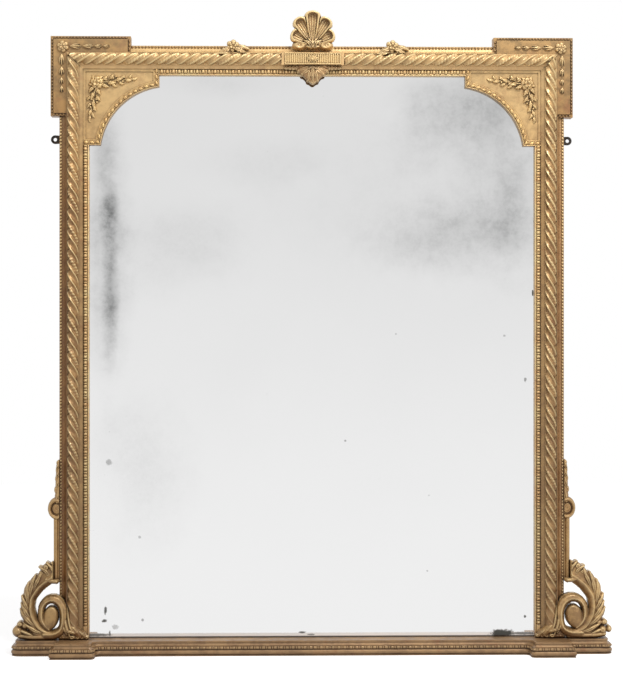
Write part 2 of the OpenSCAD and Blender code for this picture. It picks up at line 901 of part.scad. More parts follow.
module scroll_left() {
    color(old_gilt) left_side() right_scroll();
}

module scroll_right() {
    color(old_gilt) right_scroll();
}

side_strip_z = plinth_h + strip_z;
volute_u = volute_r / 22;                // the unit of the volute and its husks
volute_husks = [40, 24, 22, 20];
volute_husk_r = [9, 6, 5, 4];
function volute_husk_z(i) = i == 0 ? 0 : volute_husk_z(i - 1) + volute_husks[i - 1] + 1;

// Flat strip up the stile's side, rolled over into a small volute, with husks above it
module right_side_volute() {
    centre = [half_w + 8 * volute_u, plinth_h + volute_z];
    band = 8 * volute_u;
    groove = 4 * volute_u;
    rim = 1.5 * volute_u;
    plate(side_back_d, side_d) difference() {
        union() {
            translate([half_w, side_strip_z])
                square([side_strip_w, centre[1] - side_strip_z]);
            translate(centre) circle(volute_r);
        }
        translate(centre) difference() {
            circle(volute_r - band);
            circle(volute_r - band - groove);
        }
        square([half_w, frame_h]);
    }
    plate(side_d, side_d + groove) difference() {
        translate(centre) difference() {
            circle(volute_r - rim);
            circle(volute_r - band + rim);
        }
        square([half_w, frame_h]);
    }
    for (i = [0:len(volute_husks) - 1])
        translate([half_w, dy((side_back_d + side_d) / 2),
            centre[1] + volute_r + volute_husk_z(i) * volute_u]) rotate([0, -90, 90])
                husk(volute_husks[i] * volute_u, volute_husk_r[i] * volute_u);
}

module side_volute_left() {
    color(old_gilt) left_side() right_side_volute();
}

module side_volute_right() {
    color(old_gilt) right_side_volute();
}

// Acanthus wrapped round the foot of the twisted ribbon's bed
module right_foot_leaf() {
    intersection() {
        translate([sx(rope_s), dy(bed_d), plinth_h]) {
            for (i = [-2:2])
                translate([i * 5.5, 0, 2]) rotate([0, i * 12 - 90, 0])
                    leaf(foot_h - 4 - abs(i) * 7, 14, 2.4);
            for (i = [-1:1])
                hull() {
                    ball([i * 9 - 3, 0, 5], 6, 2.2);
                    ball([i * 9 + 3, 0, 9], 6, 2);
                }
        }
        plate(bed_d, bed_d + 40) translate([sx(fillet_s), plinth_h]) square([bed_w, foot_h]);
    }
}

module foot_leaf_left() {
    color(old_gilt) left_side() right_foot_leaf();
}

module foot_leaf_right() {
    color(old_gilt) right_foot_leaf();
}

// ---- plate and back --------------------------------------------------------------------------

plate_z0 = plinth_h - groove_deep + seat_gap;

module mirror_plate() {
    x = sx(rebate_s) - 1;
    color(silvering) plate(glass_back, glass_front)
        translate([-x, plate_z0]) square([2 * x, tz(rebate_s) - 1 - plate_z0]);
}

// Glued in the corner between the rebate and the back of the plate
module glazing_blocks() {
    w = 10;
    side_z0 = plinth_h + bottom_rail_h + 120;
    side_step = (tz(rebate_s) - 120 - block_len - side_z0) / 3;
    top_step = 2 * (sx(rebate_s) - 150) / 3;
    color(pine) plate(board_t, glass_back) {
        for (i = [0:3])
            for (side = [-1, 1])
                translate([side * (sx(rebate_s) - w / 2) - w / 2, side_z0 + i * side_step])
                    square([w, block_len]);
        for (i = [0:3])
            translate([-sx(rebate_s) + 150 + i * top_step - block_len / 2, tz(rebate_s) - w])
                square([block_len, w]);
    }
}

// Pine boards across the back, let in flush with it
module backboards() {
    x = sx(board_s) - seat_gap;
    color(pine) difference() {
        plate(0, board_t)
            for (i = [0:board_count - 1])
                translate([-x, board_z(i)]) square([2 * x, board_h]);
        board_screws_right(screw_gap);
        left_side() board_screws_right(screw_gap);
    }
}

module backboard_screws() {
    color(iron) {
        board_screws_right(0);
        left_side() board_screws_right(0);
    }
}

// Iron plate let into the back of a stile, with an eye for the wall hook
module right_lug() {
    difference() {
        plate(0, lug_t) difference() {
            lug_outline(0);
            translate([lug_x, lug_z]) circle(r = lug_hole_r);
        }
        lug_screws_right(screw_gap);
    }
}

module wall_lug_left() {
    color(iron) left_side() right_lug();
}

module wall_lug_right() {
    color(iron) right_lug();
}

module lug_screws() {
    color(iron) {
        lug_screws_right(0);
        left_side() lug_screws_right(0);
    }
}

// ---- plinth ----------------------------------------------------------------------------------

// The plinth's moulded edge from bottom to top: how far it stands out, and its height
roll_r = 6.5;
roll_z = 9.5;
bead_z0 = 18;
bead_z1 = 24.5;
top_fillet = 4;
plinth_edge = concat([[-2, 0], [-2, roll_z - roll_r]],
    arc([-roll_r, roll_z], roll_r, roll_r, -90, 90, 6),
    [[-roll_r, bead_z0], [-3, bead_z0], [-3, bead_z1], [-5, bead_z1]],
    [for (i = [0:5])
        let (cove_h = plinth_h - top_fillet - bead_z1 - 1)
        [-5 - (plinth_slope - 5) * sin(i * 18), plinth_h - top_fillet - cove_h * cos(i * 18)]],
    [[2 - plinth_slope, plinth_h - top_fillet], [2 - plinth_slope, plinth_h]]);

// A section from x or depth `from` out to the edge at `to`; way is 1 or -1
module edge_section(from, to, way) {
    polygon(concat([[from, 0]], [for (e = plinth_edge) [to + way * e[0], e[1]]],
        [[from, plinth_h]]));
}

// The moulded edge turned through a quarter about the corner [x, d]: outwards at radius r
module edge_turn(x, d, r, start) {
    translate([x, dy(d), 0]) rotate([0, 0, start]) rotate_extrude(angle = 90)
        edge_section(0, r, 1);
}

// What the concave turn leaves free
module edge_hollow(x, d, r) {
    last = plinth_edge[len(plinth_edge) - 1][0];
    translate([x, dy(d), 0]) rotate_extrude()
        polygon(concat([[0, -cut], [r - plinth_edge[0][0], -cut]],
            [for (e = plinth_edge) [r - e[0], e[1]]],
            [[r - last, plinth_h + cut], [0, plinth_h + cut]]));
}

// The groove that the foot of the plate stands in
module plate_groove() {
    plate(glass_back - seat_gap, glass_front + seat_gap)
        translate([-sx(rebate_s), plinth_h - groove_deep])
            square([2 * sx(rebate_s), groove_deep + cut]);
}

module plinth_centre() {
    color(old_gilt) difference() {
        along_x(-middle_x, middle_x) edge_section(0, plinth_d, 1);
        plate_groove();
    }
}

module right_pedestal() {
    turn_x = pedestal_x0 + round_r;
    turn_d = pedestal_d - round_r;
    bay_d = plinth_d + hollow_r;
    intersection() {
        along_x(turn_x, pedestal_x1) edge_section(0, pedestal_d, 1);
        plate(-cut, pedestal_d + cut) edge_section(turn_x - cut, pedestal_x1, 1);
    }
    plate(0, turn_d) edge_section(turn_x, pedestal_x0, -1);
    edge_turn(turn_x, turn_d, round_r, 180);
    difference() {
        translate([middle_x, dy(bay_d), 0])
            cube([hollow_r + plinth_slope, bay_d, plinth_h]);
        edge_hollow(middle_x, bay_d, hollow_r);
    }
}

module right_plinth_end() {
    turn_x = half_w + end_out - end_r;
    turn_d = end_d - end_r;
    along_x(pedestal_x1 - plinth_slope - 5, turn_x) edge_section(0, end_d, 1);
    plate(0, turn_d) edge_section(turn_x - 1, half_w + end_out, 1);
    edge_turn(turn_x, turn_d, end_r, 270);
}

module right_plinth() {
    difference() {
        union() {
            right_pedestal();
            right_plinth_end();
        }
        plate_groove();
    }
}

module plinth_left() {
    color(old_gilt) left_side() right_plinth();
}

module plinth_right() {
    color(old_gilt) right_plinth();
}

plinth_centre();
plinth_left();
plinth_right();
stile_left();
stile_right();
top_rail();
bottom_rail();
hollow_left();
hollow_right();
hollow_top();
pearls_left();
pearls_right();
pearls_top();
rope_left();
rope_right();
rope_top_left();
rope_top_right();
sight_edge_left();
sight_edge_right();
sight_edge_top();
ear_left();
ear_right();
ear_pearls_left();
ear_pearls_right();
husk_drop_left();
husk_drop_right();
spandrel_left();
spandrel_right();
spandrel_edge_left();
spandrel_edge_right();
flower_spray_left();
flower_spray_right();
crest_block();
crest_tablet();
tablet_patera();
crest_shell();
crest_batten();
pendant_leaf();
rose_left();
rose_right();
scroll_left();
scroll_right();
side_volute_left();
side_volute_right();
foot_leaf_left();
foot_leaf_right();
mirror_plate();
glazing_blocks();
backboards();
backboard_screws();
wall_lug_left();
wall_lug_right();
lug_screws();
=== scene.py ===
"""The looks of a giltwood overmantel mirror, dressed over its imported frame.

Lengths are in millimetres until a mesh is made. X runs to the viewer's right and Z up. A depth d is
measured forward from the wall plane, and an inset s inwards from the frame's outer edges.
"""

import math

import bpy
import numpy as np
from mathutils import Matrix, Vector


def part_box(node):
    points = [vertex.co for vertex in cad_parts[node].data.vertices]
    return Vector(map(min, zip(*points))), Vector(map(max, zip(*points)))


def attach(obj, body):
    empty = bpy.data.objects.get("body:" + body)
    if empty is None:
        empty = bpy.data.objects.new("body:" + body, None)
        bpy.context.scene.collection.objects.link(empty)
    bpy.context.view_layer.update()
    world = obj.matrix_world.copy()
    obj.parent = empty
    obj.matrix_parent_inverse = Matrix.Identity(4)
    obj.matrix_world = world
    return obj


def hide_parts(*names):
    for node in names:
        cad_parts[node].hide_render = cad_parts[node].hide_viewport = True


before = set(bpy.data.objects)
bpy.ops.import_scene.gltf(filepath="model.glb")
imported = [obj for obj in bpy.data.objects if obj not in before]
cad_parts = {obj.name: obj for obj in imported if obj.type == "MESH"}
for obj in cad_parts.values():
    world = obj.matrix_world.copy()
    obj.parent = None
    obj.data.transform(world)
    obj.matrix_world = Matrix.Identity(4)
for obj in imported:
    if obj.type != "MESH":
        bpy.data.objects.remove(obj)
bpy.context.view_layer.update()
MM = 0.001


def corner(node):
    """The highest corner of a CAD node, in millimetres."""
    return np.array(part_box(node)[1]) / MM


# ---- sizes ----

HALF_W = corner("stile_right")[0]
TOP_Z = corner("top_rail")[2]
WALL_Y = corner("stile_right")[1]
PLINTH_H = corner("plinth_centre")[2]
BLOCK_W = corner("crest_block")[0] * 2

BED_S, BED_W, BED_D = 20.0, 32.0, 52.0      # bed of the twisted ribbon
ROPE_S = BED_S + BED_W / 2                  # the ribbon's middle line
FILLET_S, FILLET_D = BED_S + BED_W, 49.0    # fillet inside the ribbon
SIGHT_S = FILLET_S + 9.0                    # outer side of the sight edge
REACH, ARC_S, ARC_R = 258.0, 283.0, 179.0   # reach of a spandrel, and its arc's middle and radius
SPANDREL_D = 44.0
PANEL_D = SPANDREL_D - 3.0                  # the panel sunk in a spandrel
EAR_D = 50.0


# ---- materials ----

def linear(colour):
    """An sRGB colour such as "#e2b876" as the linear colour that a shader takes."""
    parts = [c / 255 for c in bytes.fromhex(colour[1:])]
    return (*(c / 12.92 if c <= 0.04045 else ((c + 0.055) / 1.055) ** 2.4 for c in parts), 1.0)


class Nodes:
    """Short names for building the nodes of a material, or of the world."""

    def __init__(self, name, kind="materials", shader="Principled BSDF"):
        self.owner = getattr(bpy.data, kind).new(name)
        self.owner.use_nodes = True
        self.tree = self.owner.node_tree
        self.shader = self.tree.nodes[shader]
        self.where = self.add("ShaderNodeTexCoord").outputs["Object"]

    def add(self, kind, **settings):
        node = self.tree.nodes.new(kind)
        for key, value in settings.items():
            setattr(node, key, value)
        return node

    def feed(self, socket, value):
        """Links a socket to another node's output, or gives it a plain value."""
        if isinstance(value, bpy.types.NodeSocket):
            self.tree.links.new(value, socket)
        else:
            socket.default_value = value

    def set(self, node, **inputs):
        for key, value in inputs.items():
            self.feed(node.inputs[key.replace("_", " ")], value)
        return node

    def surface(self, **inputs):
        """Sets inputs of the shader, and returns the material or world."""
        self.set(self.shader, **inputs)
        return self.owner

    def split(self, vector):
        """The X, Y and Z outputs of a vector."""
        return self.set(self.add("ShaderNodeSeparateXYZ"), Vector=vector).outputs

    def noise(self, scale, detail, rough, stretch=None):
        """Noise over the object's own coordinates, in metres."""
        where = self.where
        if stretch:
            where = self.set(self.add("ShaderNodeMapping"), Vector=where, Scale=stretch).outputs[0]
        node = self.add("ShaderNodeTexNoise")
        self.set(node, Vector=where, Scale=scale, Detail=detail, Roughness=rough)
        return node.outputs["Fac"]

    def occlusion(self, reach_mm, samples):
        """How open the surface is within a reach, from 0 in a hollow to 1."""
        node = self.add("ShaderNodeAmbientOcclusion", samples=samples)
        return self.set(node, Distance=reach_mm * MM).outputs["AO"]

    def ramp(self, value, low, high, to_low=0.0, to_high=1.0):
        """Goes smoothly from to_low to to_high as the value goes from low to high."""
        node = self.add("ShaderNodeMapRange", interpolation_type="SMOOTHSTEP")
        self.set(node, Value=value, From_Min=low, From_Max=high, To_Min=to_low, To_Max=to_high)
        return node.outputs[0]

    def maths(self, operation, a, b=0.0):
        node = self.add("ShaderNodeMath", operation=operation)
        for i, value in enumerate((a, b)):
            self.feed(node.inputs[i], value)
        return node.outputs[0]

    def mix(self, factor, a, b):
        """Colour a where factor is 0, and b where it is 1."""
        node = self.add("ShaderNodeMix", data_type="RGBA")
        for i, value in ((0, factor), (6, a), (7, b)):
            self.feed(node.inputs[i], linear(value) if isinstance(value, str) else value)
        return node.outputs[2]

    def bump(self, height, strength, distance_mm):
        node = self.add("ShaderNodeBump")
        self.set(node, Height=height, Strength=strength, Distance=distance_mm * MM)
        self.set(self.shader, Normal=node.outputs[0])


# Tints mixed into the gilding: bole and bare wood as they are, painted light for the top, rubbed leaf with
# a painted highlight for the edges, and painted shade for hollows, the foot and faces that look down.
BOLE, BARE_WOOD = "#925636", "#8a6844"
PAINTED_TOP_LIGHT, RUBBED_AND_HIGHLIT_LEAF = "#ffe2a6", "#f7daa0"
DEEP_SHADE, PAINTED_FOOT_SHADE = "#5c3c26", "#68523c"


def gilding(name, gold, shade, grime_and_shade, red=0.45, low=0.4, high=0.3, deep=0.9, crest=0.7, under=0.0):
    """Old gold leaf on red bole: patchy, with grime and painted shade in the hollows, rubbing and a
    painted highlight on the edges, and bare at the back.

    red is how much bole shows, low how much painted shade darkens the foot, high how much painted
    light brightens the top, deep the grime and painted shade in the hollows, crest the rubbing and
    painted highlight on the edges, and under the painted shade on faces that look down.
    """
    n = Nodes(name)
    place = n.split(n.where)
    normal = n.add("ShaderNodeNewGeometry").outputs
    facing = n.split(normal["True Normal"])
    mottle = n.noise(60, 5, 0.65)
    patches = n.maths("MULTIPLY", n.noise(11, 4, 0.6), 0.5)
    tone = n.maths("ADD", patches, n.maths("MULTIPLY", mottle, 0.5))
    bare = n.ramp(facing["Y"], 0.6, 0.9)
    colour = n.mix(n.ramp(tone, 0.40, 0.60), shade, gold)
    for amount, tint in (
        (n.ramp(n.noise(26, 6, 0.72), 0.54, 0.70, 0.0, red), BOLE),
        (n.ramp(n.noise(240, 4, 0.7), 0.60, 0.74, 0.0, 0.5), grime_and_shade),
        # painted light: the top is made brighter
        (n.ramp(place["Z"], 1.2, 1.62, 0.0, high), PAINTED_TOP_LIGHT),
        # rubbed edges, with a painted highlight on them
        (n.ramp(normal["Pointiness"], 0.502, 0.535, 0.0, crest), RUBBED_AND_HIGHLIT_LEAF),
        # painted shade in wide hollows and under overhangs
        (n.ramp(n.occlusion(24, 6), 0.35, 0.85, 0.55 * deep, 0.0), DEEP_SHADE),
        # grime and painted shade in narrow hollows
        (n.ramp(n.occlusion(6, 8), 0.28, 0.88, deep, 0.0), grime_and_shade),
        # painted shade: darker towards the foot
        (n.ramp(place["Z"], 0.1, 1.45, low, 0.0), PAINTED_FOOT_SHADE),
        # painted shade on faces that look down
        (n.ramp(facing["Z"], -0.6, 0.0, under, 0.0), DEEP_SHADE),
        (bare, BARE_WOOD),
    ):
        colour = n.mix(amount, colour, tint)
    n.bump(n.maths("ADD", n.noise(420, 3, 0.6), n.maths("MULTIPLY", mottle, 1.5)), 0.45, 0.5)
    metal = n.maths("MULTIPLY", n.maths("SUBTRACT", 1.0, bare), 0.35)
    return n.surface(Base_Color=colour, Roughness=n.ramp(mottle, 0.3, 0.7, 0.28, 0.52), Metallic=metal)


def bare_pine():
    """Old bare wood with stains, its grain along X."""
    n = Nodes("bare_pine")
    grain = n.noise(60, 6, 0.7, stretch=(0.35, 6.0, 6.0))
    colour = n.mix(n.ramp(grain, 0.35, 0.66), "#76583a", "#a88458")
    colour = n.mix(n.ramp(n.noise(7, 4, 0.6), 0.45, 0.7, 0.0, 0.35), colour, "#4e3a28")
    n.bump(grain, 0.4, 0.4)
    return n.surface(Base_Color=colour, Roughness=0.8)


def dark_iron():
    """Dark iron with some rust."""
    n = Nodes("dark_iron")
    rust = n.ramp(n.noise(160, 5, 0.7), 0.45, 0.7)
    n.bump(n.noise(500, 3, 0.6), 0.3, 0.3)
    return n.surface(Base_Color=n.mix(rust, "#322f2c", "#544032"), Metallic=0.5, Roughness=0.55)


# Marks in the silvering: middle x and z, half width and half height in millimetres, and darkness
CLOUDS = (
    (-528, 1159, 30, 90, 0.42), (-526, 943, 28, 220, 0.46), (-535, 1060, 80, 400, 0.30),
    (-540, 1300, 40, 120, 0.22), (-440, 480, 160, 250, 0.10), (-348, 1060, 240, 150, 0.10),
    (-110, 1275, 260, 80, 0.05), (-250, 1490, 220, 60, 0.08), (369, 1084, 310, 120, 0.19),
    (515, 1140, 60, 210, 0.16), (500, 1270, 300, 360, 0.20), (430, 1440, 250, 150, 0.22),
    (200, 1180, 360, 260, 0.05),
)
# Foxed spots; the flat ones low down, at heights of 45 to 51 mm, are painted shadow along the foot of the
# glass.
SPOTS = (
    (-529, 494, 9, 9, 0.40), (-538, 109, 4, 12, 0.85), (-541, 82, 7, 5, 0.85), (-513, 67, 10, 7, 0.35),
    (-527, 50, 3, 10, 0.7), (-442, 85, 4, 4, 0.5), (-27, 51, 9, 3, 0.8), (-4, 45, 11, 2.5, 0.6),
    (496, 46, 38, 11, 0.95), (552, 46, 42, 4, 0.7), (556, 90, 4, 4, 0.8), (576, 936, 2.5, 9, 0.9),
    (86, 550, 3, 3, 0.5), (-450, 300, 4, 4, 0.35), (300, 210, 3, 3, 0.35), (557, 709, 4, 6, 0.6),
    (502, 824, 4, 3, 0.4), (218, 829, 3, 3, 0.35), (-560, 46, 40, 4, 0.7),
)


def silvering():
    """Old silvering with clouds and foxed spots, greyer towards the top as a painted reflection."""
    n = Nodes("foxed_silvering")
    place = n.split(n.where)

    def about_zero(noise, size):
        return n.maths("MULTIPLY", n.maths("SUBTRACT", noise, 0.5), size)

    def mark(x, z, half_w, half_h, dark, ragged, solid):
        """An oval's darkness, full within the share solid of its size and 0 beyond its ragged rim."""
        dx = n.maths("DIVIDE", n.maths("SUBTRACT", place["X"], x * MM), half_w * MM)
        dz = n.maths("DIVIDE", n.maths("SUBTRACT", place["Z"], z * MM), half_h * MM)
        far = n.maths("SQRT", n.maths("ADD", n.maths("MULTIPLY", dx, dx), n.maths("MULTIPLY", dz, dz)))
        return n.ramp(n.maths("ADD", far, ragged), solid, 1.1, dark, 0.0)

    # painted reflection: paler low down and greyer towards the top
    level = n.maths("ADD", place["Z"], about_zero(n.noise(3.0, 3, 0.5), 0.3))
    colour = n.mix(n.ramp(level, 0.05, 1.45), "#efefef", "#dfdfdf")
    drift = about_zero(n.noise(7, 4, 0.6), 0.9)
    grey = 0.0
    for cloud in CLOUDS:
        grey = n.maths("ADD", grey, mark(*cloud, drift, 0.0))
    mist = n.ramp(n.noise(35, 5, 0.75), 0.35, 0.75, 0.75, 1.25)
    colour = n.mix(n.maths("MULTIPLY", grey, mist), colour, "#4a4c4b")
    jagged = about_zero(n.noise(120, 4, 0.7), 1.5)
    marks = n.ramp(n.noise(90, 2, 0.5), 0.755, 0.80, 0.0, 0.3)
    for spot in SPOTS:
        marks = n.maths("MAXIMUM", marks, mark(*spot, jagged, 0.55))
    colour = n.mix(marks, colour, "#464844")
    # The lowest few millimetres are blind, with a painted shadow as a dark line where the glass meets the
    # plinth
    foot = PLINTH_H * MM
    bloom = n.ramp(place["Z"], foot + 7 * MM, foot + 15 * MM, 0.6, 0.0)
    colour = n.mix(n.maths("SUBTRACT", bloom, marks), colour, "#fffdfa")
    line = n.ramp(place["Z"], foot + 2.5 * MM, foot + 5 * MM, 0.9, 0.0)
    colour = n.mix(line, colour, "#3e342a")
    rough = n.maths("MAXIMUM", n.ramp(marks, 0.0, 0.8, 0.05, 0.6), bloom)
    return n.surface(Base_Color=colour, Roughness=rough, Metallic=1.0)


GILT = gilding("aged_gilt", "#e2b876", "#ba8f5a", "#321d10")
EDGE_GILT = gilding("burnished_edge", "#ffe2a6", "#f0c286", "#462214", deep=0.6)
OVAL_GILT = gilding("spandrel_edge", "#f6d08c", "#daac6e", "#421c10", deep=1.0)
# Darker gilding for the low pieces, as painted shade; the right console's copy is lighter, as painted light
# falling from the right.
DARK_GILT = gilding("shaded_rubbed_gilt", "#c09a64", "#8a6943", "#2a1b10", low=0.15, deep=0.8,
                    crest=0.55, under=0.6)
CONSOLE_GILT = {
    "left": DARK_GILT,
    "right": gilding("rubbed_gilt_right", "#d0a870", "#9a774e", "#2a1b10", low=0.05,
                     deep=0.8, crest=0.6, under=0.5),
}
CREST_GILT = gilding("shell_gilt", "#d0a670", "#a67c54", "#42241a", deep=1.0, crest=0.95)
BEAD_GILT = gilding("toned_beads", "#bc9668", "#9a7850", "#3a2416", low=0.2, crest=0.15)
STRIP_GILT = gilding("toned_strip", "#c8a068", "#a0784a", "#3c2012", low=0.1, crest=0.45)
HUSK_GILT = gilding("husk_gilt", "#caa06a", "#a47c52", "#3e2214", crest=0.5)
FLAT_GILT = gilding("toned_gilt", "#c49e69", "#a68256", "#3c2416", deep=0.6, crest=0)
PANEL_GILT = gilding("toned_panel", "#dcb47a", "#bc9664", "#3c2416", deep=0.5, crest=0)
# Lighter than the stiles' gilding, as painted light on the top rail and crest block.
LIT_RAIL_GILT = gilding("lit_rail", "#e4b87e", "#d0a26e", "#422616", deep=0.35, crest=0)
EAR_GILT = gilding("toned_ear", "#b0824c", "#78522e", "#3c2214", red=0.8, high=0.22, deep=0.8, crest=0)
BASE_GILT = gilding("toned_plinth", "#b28e64", "#927250", "#281a11", low=0.1, deep=0.55, crest=0)
PEARL_GILT = gilding("dark_pearls", "#987042", "#724e2c", "#2e120a", low=0.3, high=0.05,
                     deep=1.0, crest=0.15)
ROPE_GILT = gilding("rope_gilt", "#ca9e67", "#a0784c", "#361c10", crest=0.8)
DROP_GILT = gilding("drop_gilt", "#b48a5c", "#8a6440", "#321c10", high=0.1, crest=0.6)
# The three hollows are one moulding in lit and shaded copies of its gilding: the left one darkest as
# painted shade, the right one less so, and the top one lightest as painted light.
RED_GILT = gilding("bole_and_shade_hollow", "#a87c4e", "#8c6440", "#24140d", low=0.0, deep=0.7, crest=0)
BROWN_GILT = gilding("half_shaded_hollow", "#ba8e5c", "#a0764c", "#28190f", low=0.2, deep=0.7, crest=0)
LIT_TOP_GILT = gilding("top_hollow", "#ecc488", "#d4a870", "#422616", deep=0.4, crest=0)
# The ground behind the plinth's beads, darkened as painted shade in the gaps between them.
BEAD_GAP_SHADE = gilding("dark_ground", "#684c34", "#523a28", "#24160e", low=0.1, crest=0)
PINE = bare_pine()
IRON = dark_iron()
MIRROR = silvering()

FINISHES = (
    (FLAT_GILT, "stile_left stile_right"),
    (EAR_GILT, "ear_left ear_right"),
    (PEARL_GILT, "pearls_top ear_pearls_left ear_pearls_right"),
    (RED_GILT, "hollow_left"),
    (BROWN_GILT, "hollow_right"),
    (LIT_TOP_GILT, "hollow_top"),
    (LIT_RAIL_GILT, "top_rail crest_block"),
    (PANEL_GILT, "spandrel_left spandrel_right"),
    (BASE_GILT, "plinth_left plinth_centre plinth_right"),
    (PINE, "glazing_blocks backboards crest_batten bottom_rail"),
    (IRON, "backboard_screws wall_lug_left wall_lug_right lug_screws"),
    (MIRROR, "mirror_plate"),
)
finish_of = {node: material for material, nodes in FINISHES for node in nodes.split()}
for node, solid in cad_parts.items():
    solid.data.materials.clear()
    solid.data.materials.append(finish_of.get(node, GILT))


# ---- meshes ----

def new_object(name, data):
    """An object of that data, in the scene."""
    made = bpy.data.objects.new(name, data)
    bpy.context.scene.collection.objects.link(made)
    return made


def add_piece(name, points, faces, material, replaces=None):
    """A smooth piece from points in millimetres, which stands for the CAD node it replaces."""
    mesh = bpy.data.meshes.new(name)
    mesh.from_pydata(np.asarray(points).reshape(-1, 3) * MM, [], np.asarray(faces).tolist())
    mesh.materials.append(material)
    mesh.polygons.foreach_set("use_smooth", np.ones(len(mesh.polygons), bool))
    mesh.validate()
    piece = new_object(name, mesh)
    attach(piece, "root")
    if replaces:
        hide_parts(replaces)


def grid_faces(rows, cols, flip=False):
    """Quads over a grid of points held row by row."""
    a = (np.arange(rows - 1)[:, None] * cols + np.arange(cols - 1)).ravel()
    quads = np.stack([a, a + 1, a + cols + 1, a + cols], 1)
    return quads[:, ::-1] if flip else quads


def front(x, d, z):
    """Points from x, depth and height, as one array with x, y, z last."""
    x, d, z = np.broadcast_arrays(x, d, z)
    return np.stack([x, WALL_Y - d, z], -1).astype(float)


def smooth_curve(points, count=28):
    """Even steps along a smooth curve through the points."""
    p = np.asarray(points, float)
    ends = np.vstack([2 * p[0] - p[1], p, 2 * p[-1] - p[-2]])
    t = np.linspace(0, len(p) - 1, count)
    i = np.minimum(t.astype(int), len(p) - 2)
    f = (t - i)[:, None]
    a, b, c, d = ends[i], ends[i + 1], ends[i + 2], ends[i + 3]
    return 0.5 * (2 * b + (c - a) * f + (2 * a - 5 * b + 4 * c - d) * f ** 2
                  + (3 * b - a - 3 * c + d) * f ** 3)


def run_of(path):
    """How far along a path each of its points lies."""
    return np.concatenate([[0], np.cumsum(np.hypot(*np.diff(path, axis=0).T))])


def left_of(path):
    """The unit vector to the left of a path at each of its points."""
    way = np.gradient(path, axis=0)
    return np.stack([-way[:, 1], way[:, 0]], 1) / np.hypot(*way.T)[:, None]


def share(values, t):
    """Values given evenly from 0 to 1, read at t."""
    return np.interp(t, np.linspace(0, 1, len(values)), values)


def dome(share_out):
    """Height of a round section, from 1 at a share of 0 to 0 at a share of 1 and beyond."""
    return np.sqrt(np.clip(1 - share_out, 0, 1))


# ---- carving ----

CARVE_STEP = 0.9    # between the grid lines of a carving
SUNK = -2.5         # how far an applied carving's edge runs into its ground


